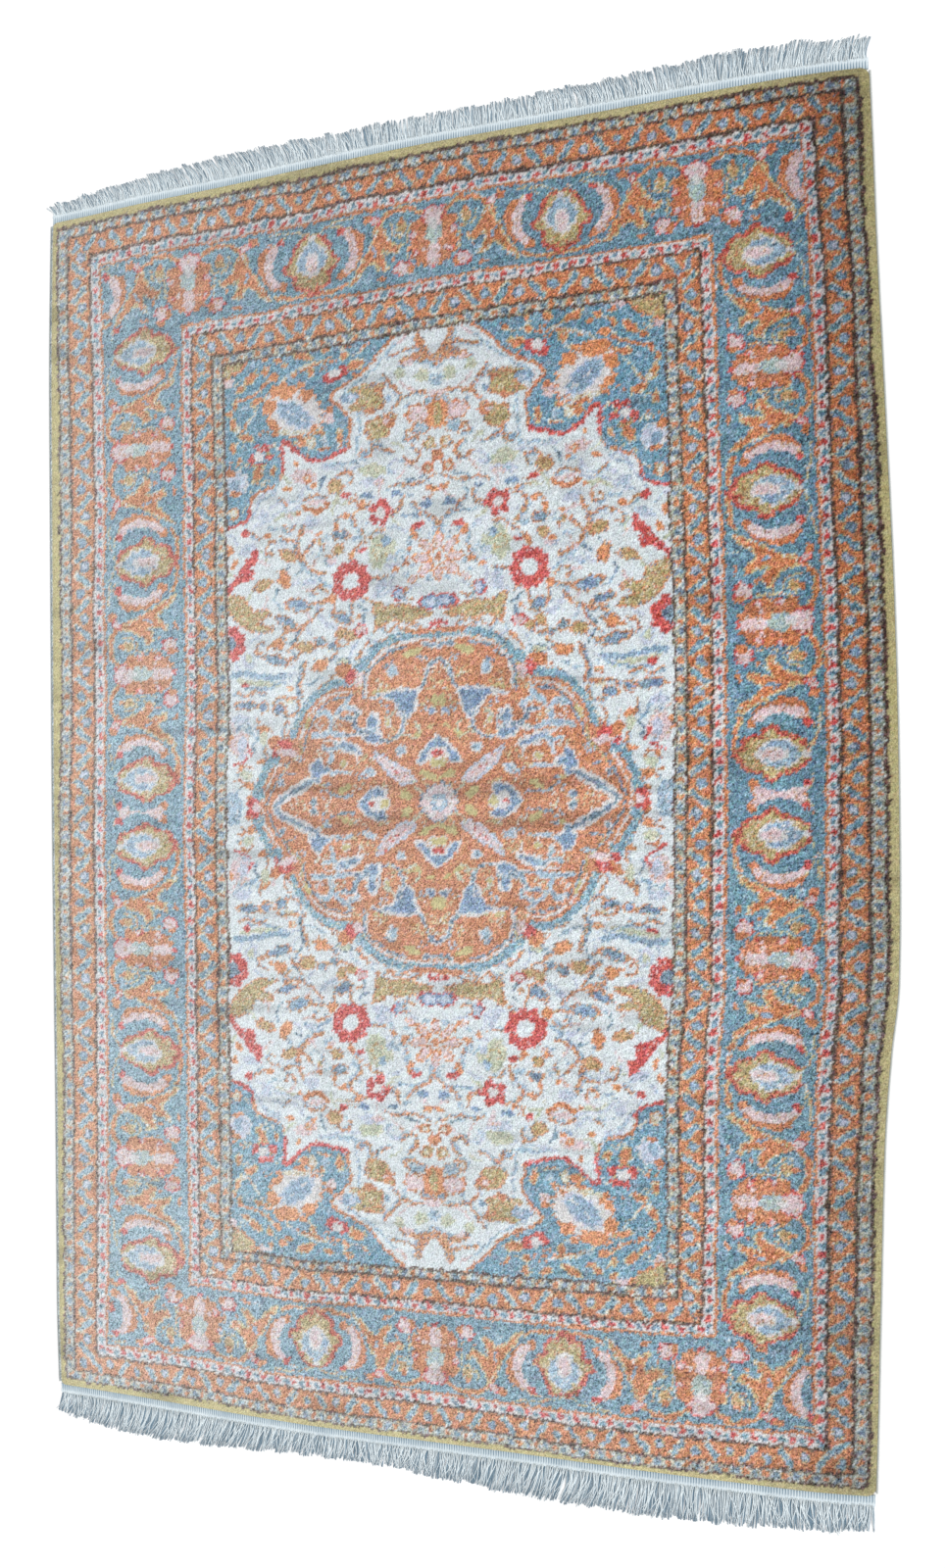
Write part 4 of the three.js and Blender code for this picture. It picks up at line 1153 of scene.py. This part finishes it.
def sweptMesh(name, rings, flip=False, tones=None):  # bars swept through rings of points, closed at both ends
    bars, stations, corners, _ = rings.shape  # and the place of each corner, mm in the drawing
    number = np.arange(bars * stations * corners).reshape(bars, stations, corners)
    turned = np.roll(number, -1, axis=2)
    quads = np.stack([number[:, :-1], turned[:, :-1], turned[:, 1:], number[:, 1:]], -1).reshape(-1, 4)
    caps = np.concatenate([number[:, 0, ::-1], number[:, -1]])
    if flip:
        quads, caps = quads[:, ::-1], caps[:, ::-1]
    mesh = bpy.data.meshes.new(name)
    place = rings.reshape(-1, 3) + (*shift, 0)
    mesh.from_pydata((place * mm).tolist(), [], quads.tolist() + caps.tolist())
    if tones is not None:
        layer = mesh.attributes.new(name="tone", type="FLOAT", domain="POINT")
        layer.data.foreach_set("value", np.broadcast_to(tones, rings.shape[:3]).ravel().astype(np.float32))
    mesh.validate()
    mesh.update()
    piece = bpy.data.objects.new(name, mesh)
    bpy.context.scene.collection.objects.link(piece)
    bpy.ops.object.select_all(action="DESELECT")
    bpy.context.view_layer.objects.active = piece
    piece.select_set(True)
    return piece


# Overcast cord down each long side

selvedge = {
    "clearance": 0.3, "width": 3.2, "height": 4.4, "sides": 6, "inset": 0.1,  # mm
    "wrapPitch": 2.6, "wrapDepth": 0.28, "stepsAWrap": 3,
    "colour": (208, 212, 208), "shade": (140, 146, 146), "strength": 0.86,
    "wraps": 120, "stain": 24, "stretch": (1.0, 5.0, 1.0), "bumpDepth": 0.0005,
}


def makeSelvedge(side):
    steps = int(outline["length"] / selvedge["wrapPitch"] * selvedge["stepsAWrap"])
    trim = outline["cornerRadius"] * 0.3 / outline["length"]
    x, y = edgePoint(side, np.linspace(trim, 1 - trim, steps), selvedge["clearance"] + selvedge["width"] / 2)
    rings = np.zeros((1, steps, selvedge["sides"], 3))
    outward = edges[side][2][0]
    for k in range(selvedge["sides"]):
        angle = 2 * np.pi * (k + 0.5) / selvedge["sides"]
        wrap = np.cos(2 * np.pi * np.arange(steps) / selvedge["stepsAWrap"] + angle) * selvedge["wrapDepth"]
        out = outward * np.cos(angle) * (selvedge["width"] / 2 - selvedge["inset"] + wrap * 0.5)
        z = selvedge["height"] / 2 + np.sin(angle) * (selvedge["height"] / 2 + wrap * 0.5)
        rings[0, :, k] = np.stack([x + out, y, np.maximum(z, 0)], 1)
    piece = sweptMesh(f"selvedge_cord_{side}", rings, flip=side == "left")
    bpy.ops.object.shade_smooth()
    piece.data.materials.append(cordWool)
    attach(piece, "root")
    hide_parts(f"selvedge_{side}")
    return piece


def edgeWool():
    recipe = Recipe("edgeWool", Roughness=0.95, Sheen_Weight=0.1)
    place = recipe.place()
    wraps = recipe.noise(recipe.stretched(place, selvedge["stretch"]), selvedge["wraps"])
    stain = recipe.noise(place, selvedge["stain"], 3.0)
    light, dark = [(*(linear(selvedge[name]) * selvedge["strength"]), 1) for name in ("colour", "shade")]
    recipe.paint(recipe.mix(wraps * 0.5 + stain * 0.4 - 0.12, light, dark))
    recipe.bump(wraps, selvedge["bumpDepth"])
    return recipe.material


cordWool = edgeWool()
cords = [makeSelvedge(side) for side in sides]
print("edge cords wrapped")

# Fringe: a flat-woven web at each end, with the warp ends that hang out of it

fringe = {
    "webWidth": 15, "webThickness": 2.2, "ribPitch": 3.6, "ribDepth": 0.8,  # mm
    # how far out, how high and how ribbed the web's section is, as shares
    "section": [(0, 0, 1), (0, 1, 1), (0.3, 1, 1), (0.55, 0.9, 1), (0.76, 1.1, 0.15), (0.95, 0.85, 0.2),
                (1, 0, 0.2)],
    "locks": 132, "under": 6, "over": 5, "threadSteps": 5, "underRadius": 1.1, "overRadius": 0.8,
    "corners": (0.5, 2.6, 4.71), "thinning": 0.35,  # a thread's three corners, radians
    "lengthSpread": 3, "rootDepth": 3, "rootWidth": 9.2, "tipWidth": 8.5,
    "drift": 6, "driftWaves": 4.3, "splay": 8, "jitter": 1.1, "curl": 1.4, "bundle": 4, "gather": 0.08,
    "reachAt": [0, 0.06, 0.125, 0.25, 0.375, 0.5, 0.625, 0.75, 0.875, 1],
    "top": [31, 36, 40, 47, 45, 42, 43, 45, 48, 40],  # mm past the pile
    "bottom": [46, 53, 60, 53, 45, 50, 59, 62, 57, 47],
    "salt": {"top": 1, "bottom": 2},
    # mm that the tips lie to the right of the solids' tips, at the left and right
    "lean": {"top": (-8, -6), "bottom": (-6, -12)},
    # how tangled the pale threads are, and how much deeper the painted shade on the threads below is, at each
    # end
    "tangle": {"top": 1, "bottom": 1.8}, "deep": {"top": 0, "bottom": 0.2},
    # chances for the pale threads on top and those below, darker as painted shade: mean and spread, or least
    # and most
    "lengths": ((0.93, 0.07), (0.99, 0.03)), "lifts": ((0.9, 2), (0, 0.3)),
    "tones": ((0.75, 1.15), (0.1, 0.7)),
    # the cotton as lit, and the blue-grey of its painted shade
    "light": (230, 240, 244), "dark": (112, 138, 156),
    "streaks": 900, "dust": 30, "stretch": (1.0, 0.12, 1.0), "bumpDepth": 0.0005,
}


def scatter(index, salt):  # the same chance as in the solids, from -1 to 1
    wave = np.sin(index * 12.9898 + salt * 78.233) * 43758.5453
    return 2 * (wave - np.floor(wave)) - 1


def lockPaths(end):  # where each lock starts, how far it reaches, drifts and curls
    salt, count = fringe["salt"][end], fringe["locks"]
    index = np.arange(count)
    at = 0.002 + 0.996 * (index + 0.5) / count
    root = edgePoint(end, at, selvedge["clearance"] + fringe["webWidth"] - fringe["rootDepth"])
    reach = (readAt(fringe["reachAt"], fringe[end], at) - fringe["webWidth"] + fringe["rootDepth"]
             + fringe["lengthSpread"] * scatter(index, salt + 3))
    pitch = outline["width"] / count
    inBundle = index % fringe["bundle"] - (fringe["bundle"] - 1) / 2
    drift = (fringe["splay"] * (2 * at - 1)
             + fringe["drift"] * np.sin(at * fringe["driftWaves"] * np.pi + salt)
             + fringe["jitter"] * scatter(index, salt) - fringe["gather"] * inBundle * pitch
             + np.interp(at, (0, 1), fringe["lean"][end]))
    return (*root, reach, drift, fringe["curl"] * scatter(index, salt + 5))


def fringeThreads(end):  # a lock's threads below are darkened as painted shade, its pale ones lie above them and cross them
    rng = np.random.default_rng(100 + fringe["salt"][end])
    each = fringe["under"] + fringe["over"]
    total = fringe["locks"] * each
    rootX, rootY, reach, drift, curl = [np.repeat(value, each) for value in lockPaths(end)]
    number = np.tile(np.arange(each), fringe["locks"])
    over = number >= fringe["under"]

    def either(chance, name):
        pale, grey = fringe[name]
        return np.where(over, chance(*pale, total), chance(*grey, total))

    layer = np.where(over, (number - fringe["under"] + 0.5) / fringe["over"],
                     (number + 0.5) / fringe["under"])
    atRoot = layer - 0.5 + rng.uniform(-0.06, 0.06, total)
    atTip = atRoot * rng.uniform(0.4, 1.3, total) + rng.normal(0, 0.3, total) * (0.4 + over)
    lengths = reach * np.clip(either(rng.normal, "lengths"), 0.7, 1.03)
    loose = 0.3 + over * fringe["tangle"][end]
    lean = rng.normal(0, 2.8, total) * loose
    wave, phase = rng.uniform(0.3, 1.3, total) * loose, rng.uniform(0, 6.28, total)
    bend = rng.normal(0, 1.6, total) * over * (fringe["tangle"][end] - 0.6)
    lift = either(rng.uniform, "lifts")
    thick = np.where(over, fringe["overRadius"], fringe["underRadius"])
    along = np.linspace(0, 1, fringe["threadSteps"])
    rings = np.zeros((total, len(along), len(fringe["corners"]), 3))
    for i, u in enumerate(along):
        x = (rootX + atRoot * fringe["rootWidth"] * (1 - u) + atTip * fringe["tipWidth"] * 1.4 * u
             + drift * u ** 1.5 + (curl + bend) * np.sin(np.pi * u) + lean * u ** 2
             + wave * np.sin(phase + 4.2 * u) * u)
        y = rootY + edges[end][2][1] * lengths * u
        radius = thick * (1 - fringe["thinning"] * u ** 3)
        z = radius * 0.55 + lift * (1 - 0.6 * u) + 0.3 * (1 + np.sin(phase + 5 * u)) * u * over
        for k, angle in enumerate(fringe["corners"]):
            high = np.maximum(z + radius * np.sin(angle), 0)
            rings[:, i, k] = np.stack([x + radius * np.cos(angle), y, high], 1)
    # the threads below are darker, as painted shade, and more so at the bottom end
    tones = either(rng.uniform, "tones") - fringe["deep"][end] * ~over
    return rings, (tones[:, None] - np.linspace(0, 0.2, len(along)))[..., None]  # painted shade: darker to the tips


def webRings(end):
    ribs = int(outline["width"] / fringe["ribPitch"])
    at = np.linspace(0, 1, ribs * 3 + 1)
    groove = (np.arange(len(at)) % 3 == 0) * 1.0
    shape = 1, len(at), len(fringe["section"])
    rings, tones = np.zeros((*shape, 3)), np.zeros(shape)
    for k, (out, up, ribbed) in enumerate(fringe["section"]):
        x, y = edgePoint(end, at, selvedge["clearance"] + out * fringe["webWidth"])
        dip = groove * ribbed * (up > 0)
        rings[0, :, k] = np.stack([x, y, up * fringe["webThickness"] - dip * fringe["ribDepth"]], 1)
        # painted shade: darker in the grooves between the ribs; lighter further out
        tones[0, :, k] = 0.5 + 0.35 * out - 0.7 * dip
    return rings, tones


def makeFringe(end):
    rings, tones = fringeThreads(end)
    threads = sweptMesh(f"fringe_threads_{end}", rings, flip=end == "top", tones=tones)
    bpy.ops.object.shade_smooth()
    rings, tones = webRings(end)
    web = sweptMesh(f"fringe_web_{end}", rings, flip=end == "bottom", tones=tones)
    bpy.ops.object.shade_smooth_by_angle(angle=pile["smooth"])
    for piece in (threads, web):
        piece.data.materials.append(warpCotton)
        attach(piece, "root")
        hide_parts(f"fringe_{end}")
    return threads, web


def cotton():
    recipe = Recipe("warpCotton", Roughness=0.9, Sheen_Weight=0.1)
    place = recipe.place()
    streaks = recipe.noise(recipe.stretched(place, fringe["stretch"]), fringe["streaks"])
    dust = recipe.noise(place, fringe["dust"], 3.0)
    light, dark = [(*linear(fringe[name]), 1) for name in ("light", "dark")]
    # the tone carries the threads' painted shade as well as their own spread of tone
    share = recipe.attribute("tone", "Fac") + (streaks - 0.5) * 0.6 + (dust - 0.5) * 0.4
    recipe.paint(recipe.mix(share, dark, light))
    recipe.bump(streaks, fringe["bumpDepth"])
    return recipe.material


warpCotton = cotton()
fringes = [makeFringe(end) for end in ("top", "bottom")]
print("fringes combed")

bpy.context.view_layer.update()
